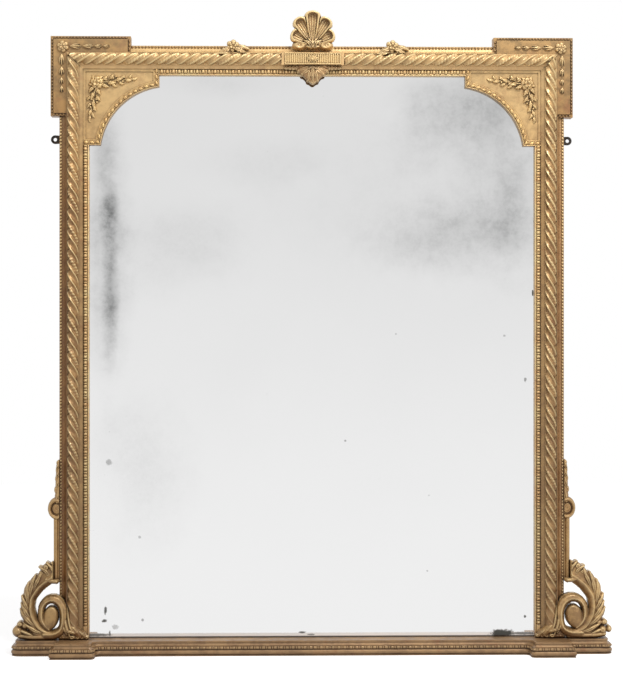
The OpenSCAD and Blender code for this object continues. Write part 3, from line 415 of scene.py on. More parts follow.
class Relief:
    """Carving over the front view, as heights in millimetres on a grid of u (right) and v (up).

    Its limits and forms are given from the point at. The grid's u and v are x and z on the object.
    """

    def __init__(self, u0, u1, v0, v1, step=CARVE_STEP, at=(0, 0)):
        self.at = at
        self.u, self.v = np.meshgrid(np.arange(u0 + at[0], u1 + at[0] + step, step),
                                     np.arange(v0 + at[1], v1 + at[1] + step, step))
        self.h = np.full(self.u.shape, SUNK)

    def lay(self, near, height):
        """Raises those cells to a height, where theirs is less."""
        self.h[near] = np.maximum(self.h[near], np.maximum(height, SUNK))

    def along(self, points, reach):
        """The cells near a curve, their share of its length and their distance to its left."""
        p = smooth_curve(np.add(points, self.at))
        seg = p[1:] - p[:-1]
        size = np.hypot(*seg.T)
        start = run_of(p)
        near = np.where((self.u > p[:, 0].min() - reach) & (self.u < p[:, 0].max() + reach)
                        & (self.v > p[:, 1].min() - reach) & (self.v < p[:, 1].max() + reach))
        q = np.stack([self.u[near], self.v[near]], 1)
        rel = q[:, None, :] - p[None, :-1, :]
        k = np.clip((rel * seg).sum(-1) / size ** 2, 0, 1)
        gap = rel - k[..., None] * seg
        far = np.hypot(gap[..., 0], gap[..., 1])
        i = far.argmin(1)
        row = np.arange(len(q))
        turn = seg[i, 0] * rel[row, i, 1] - seg[i, 1] * rel[row, i, 0]
        t = (start[i] + k[row, i] * size[i]) / start[-1]
        return near, t, np.where(turn < 0, -1, 1) * far[row, i]

    def leaf(self, points, width, height, lobes=0, bite=0.35, rib=0.0, vein=0.0, slant=0.6, shape=2.4):
        """A leaf, petal or stem along a curve. width and height are given from root to tip.

        Lobes are cut into its edge by the share bite, and lean back by slant. vein grooves it
        between them, and rib sinks its middle line.
        """
        near, t, side = self.along(points, max(width) * 1.2 + 2)
        a = np.abs(side) / (share(width, t) + 0.01)
        top = share(height, t)
        if lobes:
            saw = (t * lobes - slant * np.minimum(a, 1)) % 1
            a = a / (1 - bite * (1 - saw) ** 1.5)
            top = top * (1 - vein * (0.5 + 0.5 * np.cos(2 * np.pi * saw)) * np.minimum(a, 1))
        h = top * (1 - a ** shape)
        if rib:
            h = h - rib * top * np.exp(-(a / 0.16) ** 2) * (1 - t)
        self.lay(near, h)

    def pair(self, points, width, height, **cut):
        """A leaf and its mirror image."""
        for way in (-1, 1):
            self.leaf([(way * u, v) for u, v in points], width, height, **cut)

    def flower(self, u, v, r, height, petals=5, turn=0.0, crease=0.35, base=0.0):
        """One ring of petals, raised towards their rims, with creases between them."""
        u, v = u + self.at[0], v + self.at[1]
        near = np.where(np.hypot(self.u - u, self.v - v) < r * 1.15)
        du, dv = self.u[near] - u, self.v[near] - v
        swing = petals * (np.arctan2(dv, du) - turn) / 2
        a = np.hypot(du, dv) / (r * (0.8 + 0.2 * np.abs(np.cos(swing))))
        fold = np.exp(-(np.cos(swing) / 0.3) ** 2) * np.minimum(a, 1)
        h = base * (1 - a ** 6) + height * (0.45 + 0.75 * a) * (1 - a ** 5) * (1 - crease * fold)
        self.lay(near, h)

    def boss(self, u, v, ru, rv, height, dent=0.0):
        """A round or oval lump, with a dent in its middle."""
        u, v = u + self.at[0], v + self.at[1]
        near = np.where((np.abs(self.u - u) < ru * 1.2) & (np.abs(self.v - v) < rv * 1.2))
        a = np.hypot((self.u[near] - u) / ru, (self.v[near] - v) / rv)
        self.lay(near, height * (1 - a ** 2.2) * (1 - dent * np.exp(-(a / 0.45) ** 2)))

    def rose(self, u, v, outer, inner, heart, shift=0.0, dent=0.5):
        """Two rings of petals round a heart. A ring is its radius, height, petals and turn."""
        self.flower(u, v, *outer, crease=0.6, base=1)
        self.flower(u + shift, v - shift, *inner, crease=0.6, base=2)
        self.boss(u + shift, v - shift, heart[0], heart[0], heart[1], dent=dent)

    def covered(self):
        """Where the carving stands above its edge, the grid points round that, and their quads."""
        keep = self.h > 0
        cell = keep[:-1, :-1] | keep[1:, :-1] | keep[:-1, 1:] | keep[1:, 1:]
        used, faces = np.unique(grid_faces(*keep.shape)[cell.ravel()], return_inverse=True)
        return keep, used, faces.reshape(-1, 4)

    def applied(self, name, ground, material, replaces, side=1):
        """A piece on a ground of that depth, mirrored where side is -1."""
        _, used, faces = self.covered()
        points = front(side * self.u, ground + self.h, self.v).reshape(-1, 3)[used]
        add_piece(name, points, faces[:, ::side], material, replaces)

    def cut_out(self, name, ground, thick, material, replaces, side=1, slot="gilt"):
        """A piece carved in front, with straight sides down to a flat back thick below its edge.

        ground is the depth of that edge, or a function that gives it from v.
        """
        keep, used, faces = self.covered()
        su, sv, n = (np.zeros(self.h.shape) for _ in range(3))
        for i, j in ((0, 1), (0, -1), (1, 0), (-1, 0), (1, 1), (1, -1), (-1, 1), (-1, -1)):
            other = np.roll(keep, (i, j), (0, 1)) & ~keep
            hu, hv, hh = (np.roll(x, (i, j), (0, 1)) for x in (self.u, self.v, self.h))
            cross = np.where(other, self.h / np.where(other, self.h - hh, 1), 0)
            su += np.where(other, self.u + (hu - self.u) * cross, 0)
            sv += np.where(other, self.v + (hv - self.v) * cross, 0)
            n += other
        edge = n > 0
        u = np.where(edge, su / np.maximum(n, 1), self.u)
        v = np.where(edge, sv / np.maximum(n, 1), self.v)
        h = np.where(keep, self.h, 0)
        count = len(used)
        sides = np.concatenate([faces[:, [k, (k + 1) % 4]] for k in range(4)])
        code = np.sort(sides, 1) @ np.array([count, 1])
        _, first, times = np.unique(code, return_index=True, return_counts=True)
        rim = sides[first[times == 1]]
        walls = np.stack([rim[:, 1], rim[:, 0], rim[:, 0] + count, rim[:, 1] + count], 1)
        everything = np.concatenate([faces, faces[:, ::-1] + count, walls])[:, ::side]
        depth = ground(v) if callable(ground) else ground
        layers = [front(side * u, depth + up, v).reshape(-1, 3)[used] for up in (h, -thick)]
        add_piece(name, np.concatenate(layers), everything, material, replaces)


SIDES = (("left", -1), ("right", 1))


# ---- twisted ribbon ----

LAY, COIL = 80.0, 18.0      # length of one turn's pattern, and its run for each radian
RIBBON_R, RIBBON_STEP = 15.9, 1.3
MITRE_X, MITRE_Z = HALF_W - ROPE_S, TOP_Z - ROPE_S
WORN = (PLINTH_H + 30, PLINTH_H + 170)      # heights between which the ribbon gains its full relief
# Once round the pattern: places along it, and how far the ribbon lies below its crests there
RIBBON_CUTS = (
    (0, 0), (2, 0.1), (4.5, 2.6), (9, 5.4), (14, 6.4), (19, 6.0), (24, 4.2), (27.5, 1.4), (29.5, 0),
    (31.5, 0.2), (34, 2.6), (38, 4.8), (44, 4.6), (49, 1.9), (53, 0.4), (56, 0.6), (61, 3.5),
    (67, 5.2), (73, 5.8), (77, 3.0), (80, 0),
)


def ribbon_height(along, angle):
    """How far the twisted ribbon stands out at a place along the moulding and round it."""
    x = (along + COIL * angle) % LAY
    h = -np.interp(x, *zip(*RIBBON_CUTS))
    band = np.exp(-((x - 52) / 15) ** 4)
    leaves = np.sin(along * 0.52 + 2.6 * angle) * np.sin(angle * 4.3 - along * 0.23 + 0.7)
    berries = np.sin(along * 1.21) * np.sin(angle * 8 + along * 0.37)
    return h + (0.75 * leaves + 0.15 * berries) * band


def twisted_bar(name, low, high, way, place, replaces, worn=None, flip=False):
    """A half-round bar of twisted ribbon.

    low and high are its ends: a place along it, and how far a mitre moves that for each millimetre
    across. way is the way that the ribbon winds.
    """
    angle = np.radians(np.linspace(-90, 90, 37))
    low, high = (end + mitre * RIBBON_R * np.sin(angle) for end, mitre in (low, high))
    steps = int((high - low).max() / RIBBON_STEP)
    along = low + np.linspace(0, 1, steps)[:, None] * (high - low)
    angle = np.broadcast_to(angle, along.shape)
    relief = ribbon_height(way * along, angle)
    if worn:
        relief = relief * np.clip((along - worn[0]) / (worn[1] - worn[0]), 0.15, 1) - 1.0
    r = RIBBON_R + relief
    add_piece(name, place(along, r * np.sin(angle), r * np.cos(angle)),
              grid_faces(*angle.shape, flip), ROPE_GILT, replaces)


for name, side in SIDES:
    twisted_bar("twist_" + name, (PLINTH_H + 4, 0), (MITRE_Z, side), 1,
                lambda along, a, h: front(side * MITRE_X + a, BED_D + h, along),
                "rope_" + name, worn=WORN)
    ends = sorted([(side * BLOCK_W / 2, 0), (side * MITRE_X, side)])
    twisted_bar("twist_top_" + name, *ends, -1,
                lambda along, a, h: front(along, BED_D + h, MITRE_Z + a),
                "rope_top_" + name, flip=True)


# ---- edge mouldings ----

LEAF_PITCH = 15.4       # of the leaves on the sight edge and on the spandrels' edge
RUN_STEP = 1.25         # between the points of a straight run
LEDGE = REACH - 1.0     # where the sight edge stops, under the end of a spandrel


def leaf_and_dart(along, across):
    """Height of a row of plump leaves with darts, 0 to 1. across is -1 at its outer edge."""
    f = (along / LEAF_PITCH) % 1
    leaf = dome(((f - 0.5) / 0.27) ** 2)
    dart = 0.8 * dome((np.minimum(f, 1 - f) / 0.155) ** 2)
    return dome(np.abs(across) ** 2.6) * np.maximum(leaf, dart)


def moulding(name, path, offsets, heights, replaces, material, flip,
             place=lambda x, z, d: front(x, d, z)):
    """A strip swept along rows of points. path(w) gives the points at distance w across it."""
    points = np.stack([path(w) for w in offsets], 1)
    along = run_of(points[:, len(offsets) // 2])[:, None]
    depth = heights(along, np.asarray(offsets)[None, :])
    add_piece(name, place(points[..., 0], points[..., 1], depth),
              grid_faces(len(points), len(offsets), flip), material, replaces)


def line(x, z):
    """A row of points, where x or z is one number for them all."""
    return np.stack(np.broadcast_arrays(x, z), 1)


SIGHT_OFFSETS = [0.0, 0.02, 0.9, 1.2, *np.linspace(1.4, 11.4, 15), 11.7, 12.2, 15.0, 15.6, 15.62]
SIGHT_D, SIGHT_LEAF, SIGHT_SIDE = 43.0, 6.8, 9.0        # ground, height of the leaves, outer side
SLIP_D, SLIP_H, SLIP_SIDE = 40.0, 5.0, 14.0             # foot, height and inner side of the slip


def sight_depth(along, w, plain=-1.0):
    """The sight edge's face: a groove, the leaf and dart row, and a plain slip next to the glass.

    The row has no leaves up to the place plain.
    """
    across = np.clip((w - 6.4) / 5.0, -1, 1)
    row = SIGHT_D + SIGHT_LEAF * np.where(along < plain, 0.5, leaf_and_dart(along, across))
    slip = SLIP_D + SLIP_H * np.clip((w - 11.7) / 0.5, 0, 1) * (w < 15.3) - SLIP_SIDE * (w > 15.61)
    groove = SIGHT_D - SIGHT_SIDE * (w < 0.01)
    return np.where(w < 1.3, groove, np.where(w > 11.5, slip, row))


side_run = np.arange(PLINTH_H, TOP_Z - LEDGE, RUN_STEP)
for name, side in SIDES:
    moulding("leaf_edge_" + name, lambda w: line(side * (HALF_W - SIGHT_S - w), side_run),
             SIGHT_OFFSETS, lambda along, w: sight_depth(along, w, plain=33.0),
             "sight_edge_" + name, EDGE_GILT, flip=side < 0)
half_run = HALF_W - LEDGE
top_run = np.linspace(-half_run, half_run, int(2 * half_run / RUN_STEP))
moulding("leaf_edge_top", lambda w: line(top_run, TOP_Z - SIGHT_S - w), SIGHT_OFFSETS, sight_depth,
         "sight_edge_top", EDGE_GILT, flip=True)


def spandrel_path(w):
    """Insets from the two outer edges, along the spandrel's free edges at distance w inside them."""
    reach, radius = REACH - w, ARC_R + w
    start = math.asin((ARC_S - reach) / radius)
    angle = np.linspace(start, math.pi / 2 - start, 260)
    arc = np.stack([ARC_S - radius * np.cos(angle), ARC_S - radius * np.sin(angle)], 1)
    first = line(np.linspace(SIGHT_S, arc[0, 0], 40)[:-1], reach)
    return np.concatenate([first, arc, first[::-1, ::-1]])


STRIP_OFFSETS = [0.0, 0.02, 0.5, 1.5, 1.8, *np.linspace(2.2, 13.4, 15), 13.8, 14.4, 15.0]


def strip_depth(along, w):
    """The spandrel edge's face: a fillet, a row of ovals with darts, and a step down to the panel."""
    f = (along / LEAF_PITCH) % 1
    oval = dome(np.abs((f - 0.5) / 0.37) ** 2.6 + np.abs((w - 6.2) / 4.4) ** 2.2)
    dart = dome((np.minimum(f, 1 - f) / 0.09) ** 2 + ((w - 5.0) / 3.6) ** 2)
    row = SPANDREL_D - 0.9 + 5.4 * np.maximum(oval, 0.5 * dart) + 1.8 * np.clip((w - 11.6) / 0.5, 0, 1)
    edge = SPANDREL_D + np.interp(w, [0, 0.02, 0.5, 1.5, 1.8], [-1, 1.6, 2.2, 2.2, 0.6])
    return np.where(w < 2.0, edge, np.where(w > 13.6, SPANDREL_D - 1, row))


for name, side in SIDES:
    moulding("spandrel_strip_" + name, spandrel_path, STRIP_OFFSETS, strip_depth,
             "spandrel_edge_" + name, OVAL_GILT, flip=side > 0,
             place=lambda s, t, d: front(side * (HALF_W - s), d, TOP_Z - t))


# ---- flower sprays ----

SPRAY_S = 97.0      # inset of the rose from both outer edges


def turned(u, v, angle):
    """Places given along and across an arm that leaves u, v at an angle."""
    c, s = math.cos(angle), math.sin(angle)
    return lambda *local: [(u + p * c - q * s, v + p * s + q * c) for p, q in local]


# Each leaf of a spray: place along and across the arm, length, turn in radians and height
SPRAY_LEAVES = (
    (12, 5, 20, 0.55, 9.5), (14, -5, 18, -0.5, 8.5), (27, 2, 21, 0.25, 10), (33, -5, 17, -0.75, 8),
    (38, 6, 16, 0.8, 8), (47, 0, 20, -0.2, 9), (55, 4, 16, 0.6, 7.5), (60, -3, 15, -0.5, 7),
    (72, 1, 17, 0.25, 7.5), (80, -2, 13, -0.6, 6), (88, 1, 15, 0.1, 6),
)
SPRAY_BERRIES = ((24, -4), (30, 7), (43, -6), (46, 6), (50, -9), (66, 5), (70, -5), (79, 5))


def spray_arm(relief, u, v, angle, reach):
    """A leafy arm with berries, from the rose at u, v."""
    at = turned(u, v, angle)
    scale = reach / 104
    relief.leaf(at((0, 0), (reach * 0.5, 2), (reach, -1)), [2.6, 2, 1.4], [5, 4, 2.5])
    for p, q, length, turn, high in SPRAY_LEAVES:
        tip = turned(*at((p * scale, q))[0], angle + turn)
        relief.leaf(tip((0, 0), (length * 0.55, 1), (length, -1)),
                    [3, length * 0.36, length * 0.30, 1.5],
                    [high * 0.6, high, high * 0.9, high * 0.6], rib=0.4, lobes=3, bite=0.2, vein=0.2)
    for p, q in SPRAY_BERRIES:
        x, y = at((p * scale, q))[0]
        relief.boss(x, y, 3.3, 3.3, 8.5, dent=0.25)


def flower_spray():
    """The spandrel's rose, with a leafy arm towards each of its ends."""
    u, v = HALF_W - SPRAY_S, TOP_Z - SPRAY_S
    r = Relief(u - 130, u + 34, v - 134, v + 34)
    spray_arm(r, u, v, math.pi - math.radians(7), 106)
    spray_arm(r, u, v, -math.pi / 2 + math.radians(10), 104)
    for k in range(5):
        out = turned(u, v, k * 2 * math.pi / 5 + 0.9)
        r.leaf(out((7, 0), (15, 1), (22, 3)), [5, 7, 5.5, 1.5], [6, 7, 5.5, 3], rib=0.4)
    r.rose(u, v, (18.5, 9, 5, 0.3), (11.5, 12.5, 4, 0.9), (4.5, 13.5), shift=1)
    return r


for name, side in SIDES:
    flower_spray().applied("spray_" + name, PANEL_D, GILT, "flower_spray_" + name, side)


# ---- husk drops on the ears ----

def bellflower(relief, u, v, angle, length, half):
    """Three lobes that open from a narrow root at u, v."""
    at = turned(u, v, angle)
    for way in (-1, 1):
        curve = at((0, way * 0.5), (length * 0.45, way * half * 0.62), (length * 0.86, way * half * 0.72))
        relief.leaf(curve, [half * 0.2, half * 0.42, half * 0.3, 0.5], [3.5, 5.5, 5, 3])
    relief.leaf(at((0, 0), (length * 0.5, 0), (length, 0)),
                [half * 0.3, half * 0.45, half * 0.4, 0.5], [4.5, 7, 6.2, 3.5])


# Each husk: how far its root lies from the rosette, its length and its half width
HUSKS_ALONG = ((24, 29.6, 7.2), (57.5, 27.8, 6.4), (87, 20, 5.6), (109.5, 17, 4.6))
HUSKS_DOWN = ((20, 30, 7.6), (53.3, 22, 7.0), (80.4, 17.5, 6.2), (102.5, 17, 5.6))


def husk_drop():
    """The ear's rosette, with four husks along the top edge and four down the side."""
    u, v = HALF_W - 10, TOP_Z - 5
    r = Relief(u - 136, u + 22, v - 128, v + 24)
    r.rose(u, v, (16.5, 7.5, 6, 0.35), (10, 10.5, 5, 0.9), (4.5, 11.5), shift=0.5)
    for place, length, half in HUSKS_ALONG:
        bellflower(r, u + 5 - place, v + 1, math.pi, length, half)
    for place, length, half in HUSKS_DOWN:
        bellflower(r, u + 3, v - place, -math.pi / 2, length, half)
    return r


for name, side in SIDES:
    husk_drop().applied("husks_" + name, EAR_D, HUSK_GILT, "husk_drop_" + name, side)


# ---- roses on the top edge ----

SHELF_W, SHELF_D = 7.5, 38.0        # the shelf along the outer edge
HOLLOW_W, LIP_D = 18.5, 54.0        # the hollow inside it, up to its lip
PEG_D = SHELF_D + 8                 # front of the peg that holds a rose off the shelf
ROSE_X, ROSE_R = 207.0, 18.0


def over_hollow(v):
    """Depth of the ground under a rose: its peg's end above the shelf, then the hollow's curve."""
    s = TOP_Z - v
    curve = LIP_D - (LIP_D - SHELF_D) * dome(((s - SHELF_W) / (HOLLOW_W - SHELF_W)) ** 2)
    return np.maximum(np.where(s < SHELF_W, SHELF_D, np.where(s < HOLLOW_W, curve, LIP_D)), PEG_D)


def top_rose(x):
    """A rose over two low leaves, with a longer leaf out to each side."""
    r = Relief(-50, 50, -27, 20, at=(x, TOP_Z - 2))
    cut = dict(bite=0.2, rib=0.35, vein=0.3)
    r.pair([(6, -7), (19, -11), (31, -15)], [6, 10, 9, 4], [7, 10, 9, 5], lobes=3, **cut)
    for curve in ([(-8, -14), (-22, -19), (-38, -20)], [(10, -1), (26, -3), (41, -7)]):
        r.leaf(curve, [5, 8, 7.5, 3], [6, 8.5, 8, 4], lobes=2, **cut)
    r.rose(0, 0, (ROSE_R, 9, 6, 0.4), (11, 12.5, 5, 0.1), (4.2, 13.5), dent=0.6)
    return r


for name, side in SIDES:
    rose = top_rose(side * ROSE_X)
    rose.cut_out("rose_carved_" + name, over_hollow, 3.0, ROPE_GILT, "rose_" + name)


# ---- crest ----

TABLET_W, TABLET_H, BLOCK_D = 146.0, 30.0, 66.0


def tablet():
    """A tablet of upright flutes in a raised rim."""
    v0 = TOP_Z - ROPE_S
    half_w, half_h = TABLET_W / 2, TABLET_H / 2
    r = Relief(-half_w - 1, half_w + 1, v0 - half_h - 1, v0 + half_h + 1, 0.8)
    edge = np.minimum(half_w - np.abs(r.u), half_h - np.abs(r.v - v0))
    flutes = 0.6 + 2.8 * np.abs(np.sin(np.pi * r.u / 5.6)) ** 0.8 * np.clip((edge - 3.2) / 1.5, 0, 1)
    rim = 4.4 * np.clip(1 - ((edge - 1.7) / 1.8) ** 4, 0, 1)
    r.h = np.where(edge > 0, np.maximum(flutes * (edge > 3.0) + 0.6, rim), -1.0)
    return r


tablet().cut_out("fluted_tablet", BLOCK_D, 0.3, GILT, "crest_tablet")


def patera():
    """An oval of ten leaves round a small flower."""
    r = Relief(-24, 24, -13, 13, 0.7, at=(0, TOP_Z - ROPE_S))
    for k in range(10):
        a = k * math.pi / 5 + 0.3
        curve = [(u * math.cos(a), v * math.sin(a)) for u, v in ((3, 2), (9.5, 5.5), (17, 9.5))]
        r.leaf(curve, [1.6, 3.2, 2.4, 0.6], [3.5, 4.4, 4, 2], rib=0.4)
    r.flower(0, 0, 6.5, 5.5, petals=6, base=2)
    r.boss(0, 0, 2.4, 2.4, 7, dent=0.2)
    return r


patera().applied("patera", BLOCK_D + 2.0, GILT, "tablet_patera")


SHELL_D, HINGE = 47.0, 4.0      # the ground's depth, and how far the hinge lies above the frame
# Each lobe: angle from the top, reach of its middle, half width and half length of its round end
SHELL_LOBES = (
    (62, 48, 19.5, 15), (-62, 48, 19.5, 15), (31, 64, 20, 15.5), (-31, 64, 20, 15.5), (0, 72, 21.5, 15),
)


def shell_lobe(relief, angle, reach, wide, long):
    """One scooped lobe with a thick rolled rim and fine veins."""
    a = math.radians(angle)
    up = relief.v - (TOP_Z + HINGE)
    along = relief.u * math.sin(a) + up * math.cos(a)
    across = relief.u * math.cos(a) - up * math.sin(a)
    taper = wide * (0.14 + 0.86 * np.clip(along / reach, 0, 1) ** 0.85)
    e = np.where(along > reach, np.hypot(across / wide, (along - reach) / long),
                 np.where(along > 0, np.abs(across) / taper, 2.0))
    t = np.clip(along / (reach + long), 0, 1)
    start = 0.72 - 0.24 * t
    rim = np.clip((e - start) / 0.13, 0, 1)
    rim = rim * rim * (3 - 2 * rim) * dome((np.clip(e - 0.7, 0, 1) / 0.3) ** 3)
    veins = np.cos(across / taper * 5.0 * np.pi) * np.clip(start + 0.05 - e, 0, 0.3) / 0.3
    h = 6.5 - 3.5 * t + (3 + 11 * t) * rim + 1.0 * veins * np.clip(3 * t, 0, 1)
    relief.h = np.where(e < 1, np.maximum(h, 0.4), relief.h)


def shell():
    """A scallop of five lobes over two buds, with small leaves and beads at its hinge."""
    r = Relief(-66, 66, -15, HINGE + 92, at=(0, TOP_Z))
    for lobe in SHELL_LOBES:
        shell_lobe(r, *lobe)
    for k in range(7):
        r.boss(0, HINGE + 22 + 4.4 * k, 2.1, 2.1, 8.5 - 0.3 * k)
    for way in (-1, 1):
        r.boss(way * 17, 5, 13, 11, 10)
        r.boss(way * 34, 0.5, 19.5, 13, 17, dent=0.55)
        r.boss(way * 37, 0.5, 7.5, 6, 15, dent=0.4)
    r.pair([(3, -4), (12, 8), (26, 13)], [5, 6.5, 5, 1], [13, 17, 14, 8], rib=0.35)
    r.pair([(2, 0), (7, 12), (15, 22)], [4, 5, 4, 1], [14, 17, 13, 7], rib=0.35)
    r.pair([(4, -6), (14, -3), (20, -5)], [4, 5, 4, 1], [13, 16, 14, 8], rib=0.3)
    r.leaf([(0, -4), (0, 8), (0, 20)], [5, 6, 4, 1], [15, 19, 15, 8], rib=0.3)
    r.boss(0, -1, 7, 6.5, 20, dent=0.35)
    return r


shell().cut_out("scallop_shell", SHELL_D, 2.0, CREST_GILT, "crest_shell")


def pendant():
    """A short acanthus in five folds with low leaves spread to each side, and a bead at its tip."""
    v = TOP_Z - FILLET_S
    r = Relief(-78, 78, -53, 1, at=(0, v))
    fan = np.abs(r.u) / np.interp(v - r.v, [0, 14, 22, 32, 41, 48], [40, 40, 34, 22, 14, 5])
    r.h = np.where((fan < 1) & (v - r.v < 48), 8.5 * (1 - fan ** 6), r.h)
    for way in (-1, 1):
        for k in range(4):
            r.boss(way * (41 + 9 * k), -6, 7, 7 - 0.7 * k, 6.0 - 0.8 * k, dent=0.4)
    for curve, width, height in (
        ([(4, -3), (20, -8), (35, -13)], [7, 9.5, 10, 7], [9, 11, 10, 7]),
        ([(6, -8), (17, -16), (26, -22)], [6, 9.5, 10, 7], [10, 12, 11, 8]),
        ([(4, -10), (9, -25), (11, -38)], [6, 8.5, 9, 6], [10, 13, 12, 9]),
        ([(2, -3), (10, -9), (22, -5)], [3, 5, 4, 1], [13, 15, 12, 7]),
    ):
        r.pair(curve, width, height, rib=0.3)
    r.leaf([(0, -1), (0, -20), (0, -44)], [6, 8.5, 8, 4], [12, 15, 13.5, 9], rib=0.3)
    r.boss(0, -44.5, 6.2, 5.8, 16, dent=0.7)
    r.h = np.where(r.v > v, -1, r.h)
    return r


pendant().cut_out("pendant_acanthus", FILLET_D + 3.5, 3.3, DROP_GILT, "pendant_leaf")


# ---- side consoles ----

SCROLL_D, SCROLL_BACK = 60.0, 30.0
# The leafy limb, from the strip at the top, down the outside and in under the eye
LIMB = ((677, 210), (693, 199), (712, 183), (726, 164), (734, 148), (736, 132), (737, 118), (734, 99),
        (727, 82), (713, 63), (692, 52), (668, 50))
LIMB_HALF = (24, 23, 22.5, 21.5, 19.5, 18, 19, 20.5, 21, 19, 14.5, 12)
# The curl, from under the eye, up beside the frame and round it
CURL = ((692, 51), (670, 51), (652, 60), (645, 77), (643, 100), (646, 121), (656, 137), (672, 144),
        (688, 139), (699, 125), (702, 106), (700, 89), (692, 75), (682, 66))
CURL_HALF = (12, 12.5, 11.5, 10, 9.5, 10, 11, 11.5, 10.5, 9, 8, 8, 7.5, 6)
# The lumps at the limb's foot: middle, half width, half height, height and dent
FOOT_LUMPS = {
    "left": ((761, 60.5, 14.5, 15, 15.5, 0.1), (757, 59, 6.5, 6.5, 17, 0.6), (755, 79, 9, 8, 12.5, 0.2),
             (742, 76, 11, 10, 11, 0.1)),
    "right": ((770, 62, 8, 9.5, 14, 0.1), (753, 60, 11.5, 12.5, 16, 0.15), (757, 80, 10, 8, 12.5, 0.2),
              (743, 80, 9, 9, 12, 0.1)),
}
EYE_Z, EYE_W, EYE_H = 95, 20, 31        # the eye's middle height, half width and half height
LIMB_RIDGE = -0.34          # place of the limb's ridge across it, 1 at the outside
LIMB_LEAVES = 7             # acanthus leaves that lap up the limb's back
CURL_ROOT = 645             # where the curl passes the stile; the right one is a little wider from there


def limb_leaf(relief, t, size, trim):
    """A leaf that leaves the limb's middle at a share t of its length and breaks its outline above."""
    def at(t, place):
        """A share t along the limb, and across it, where 1 is its trimmed outside."""
        p = np.array(LIMB, float)
        p += left_of(p) * np.array(LIMB_HALF)[:, None] * (place * (1 - trim) - trim)
        return [share(p[:, i], t) for i in (0, 1)]

    steps = ((0, -0.14), (0.08, 0.22), (0.17, 0.66), (0.235, 1.10))
    path = [at(t - back * size, place) for back, place in steps]
    relief.leaf(path, np.array([3, 8.5, 10.5, 9, 4.5]) * size, [9.5, 13.5, 16, 14, 8], rib=0.3, lobes=2,
                bite=0.14, vein=0.2, slant=0.9, shape=2.0)


def scroll(stretch, trim, lumps):
    """A console. stretch widens its curl, and trim is the share that its limb loses at the outside."""
    r = Relief(622, 782, PLINTH_H, 262, 1.0)
    # The eye, a smooth dish
    up = (r.v - EYE_Z) / EYE_H
    lean = (r.u - (CURL_ROOT + 32.5 * stretch)) / stretch + 0.12 * (r.v - EYE_Z - 1)
    eye = np.hypot(lean / EYE_W, up)
    dish = 2.0 + 10.5 * (1 - (lean / (EYE_W + 1)) ** 2) * (1 - 0.35 * up ** 2)
    r.h = np.where(eye < 1, dish * (1 - eye ** 18), r.h)
    # The limb, with a slope from its ridge down to its inner edge
    near, t, side = r.along(LIMB, 27)
    a = (side / share(LIMB_HALF, t) + trim) / (1 - trim)
    slope = 13.5 * np.sin(np.clip((a + 1) / (1 + LIMB_RIDGE), 0, 1) * np.pi / 2)
    back = 8.5 * (1 - np.abs(a) ** 8) + 5 * np.exp(-((a - LIMB_RIDGE) / 0.22) ** 2)
    r.lay(near, np.where(a < LIMB_RIDGE, slope, back) * (1 - 0.2 * t))
    r.leaf([(663, 190), (672, 191), (686, 194)], [7, 8, 9], [12, 13, 13], shape=3)
    for k in range(LIMB_LEAVES):
        limb_leaf(r, 0.27 + 0.105 * k, 0.92 + 0.08 * (k % 3), trim)
    for x0, z0, x1, z1, wide in ((662, 202, 687, 238, 9), (680, 204, 706, 227, 9), (658, 216, 674, 237, 8)):
        r.leaf([(x0, z0), ((x0 + x1) / 2 - 3, (z0 + z1) / 2 + 2), (x1, z1)], [4, wide, wide * 0.9, 3],
               [10, 14, 14, 10], rib=0.2, lobes=2, bite=0.2, vein=0.15)
    for u, v, size in ((688, 226, 9.5), (673, 222, 7.5), (700, 212, 7), (684, 208, 7), (668, 206, 6.5)):
        r.boss(u, v, size, size, 9 + 0.7 * size, dent=0.3)
    # The foot, with its ball
    r.leaf([(756, 50), (734, 47), (708, 46), (672, 47)], [8, 9, 9, 9], [10, 11, 10, 9])
    r.leaf([(750, 62), (736, 56), (720, 50)], [6, 7, 6, 3], [12, 13, 11, 8])
    for lump in lumps:
        r.boss(*lump)
    # The curl
    near, t, side = r.along([(CURL_ROOT + (u - CURL_ROOT) * stretch, v) for u, v in CURL], 13)
    a = side / share(CURL_HALF, t)
    section = (1 - np.abs(np.clip(a, -1.3, 1.3)) ** 3.2) * (0.8 + 0.2 * np.exp(-((a + 0.25) / 0.4) ** 2))
    r.lay(near, 13.5 * section * (1 - 0.22 * t))
    r.h = np.where((r.u < HALF_W + 15.3) & (r.v > PLINTH_H + 155), -1, r.h)
    return r


for name, side in SIDES:
    shape = (1.12, 0.0) if side > 0 else (1.0, 0.13)
    scroll(*shape, FOOT_LUMPS[name]).cut_out(
        "console_" + name, SCROLL_D, SCROLL_D - SCROLL_BACK, CONSOLE_GILT[name], "scroll_" + name, side,
        slot="gilt_dark")


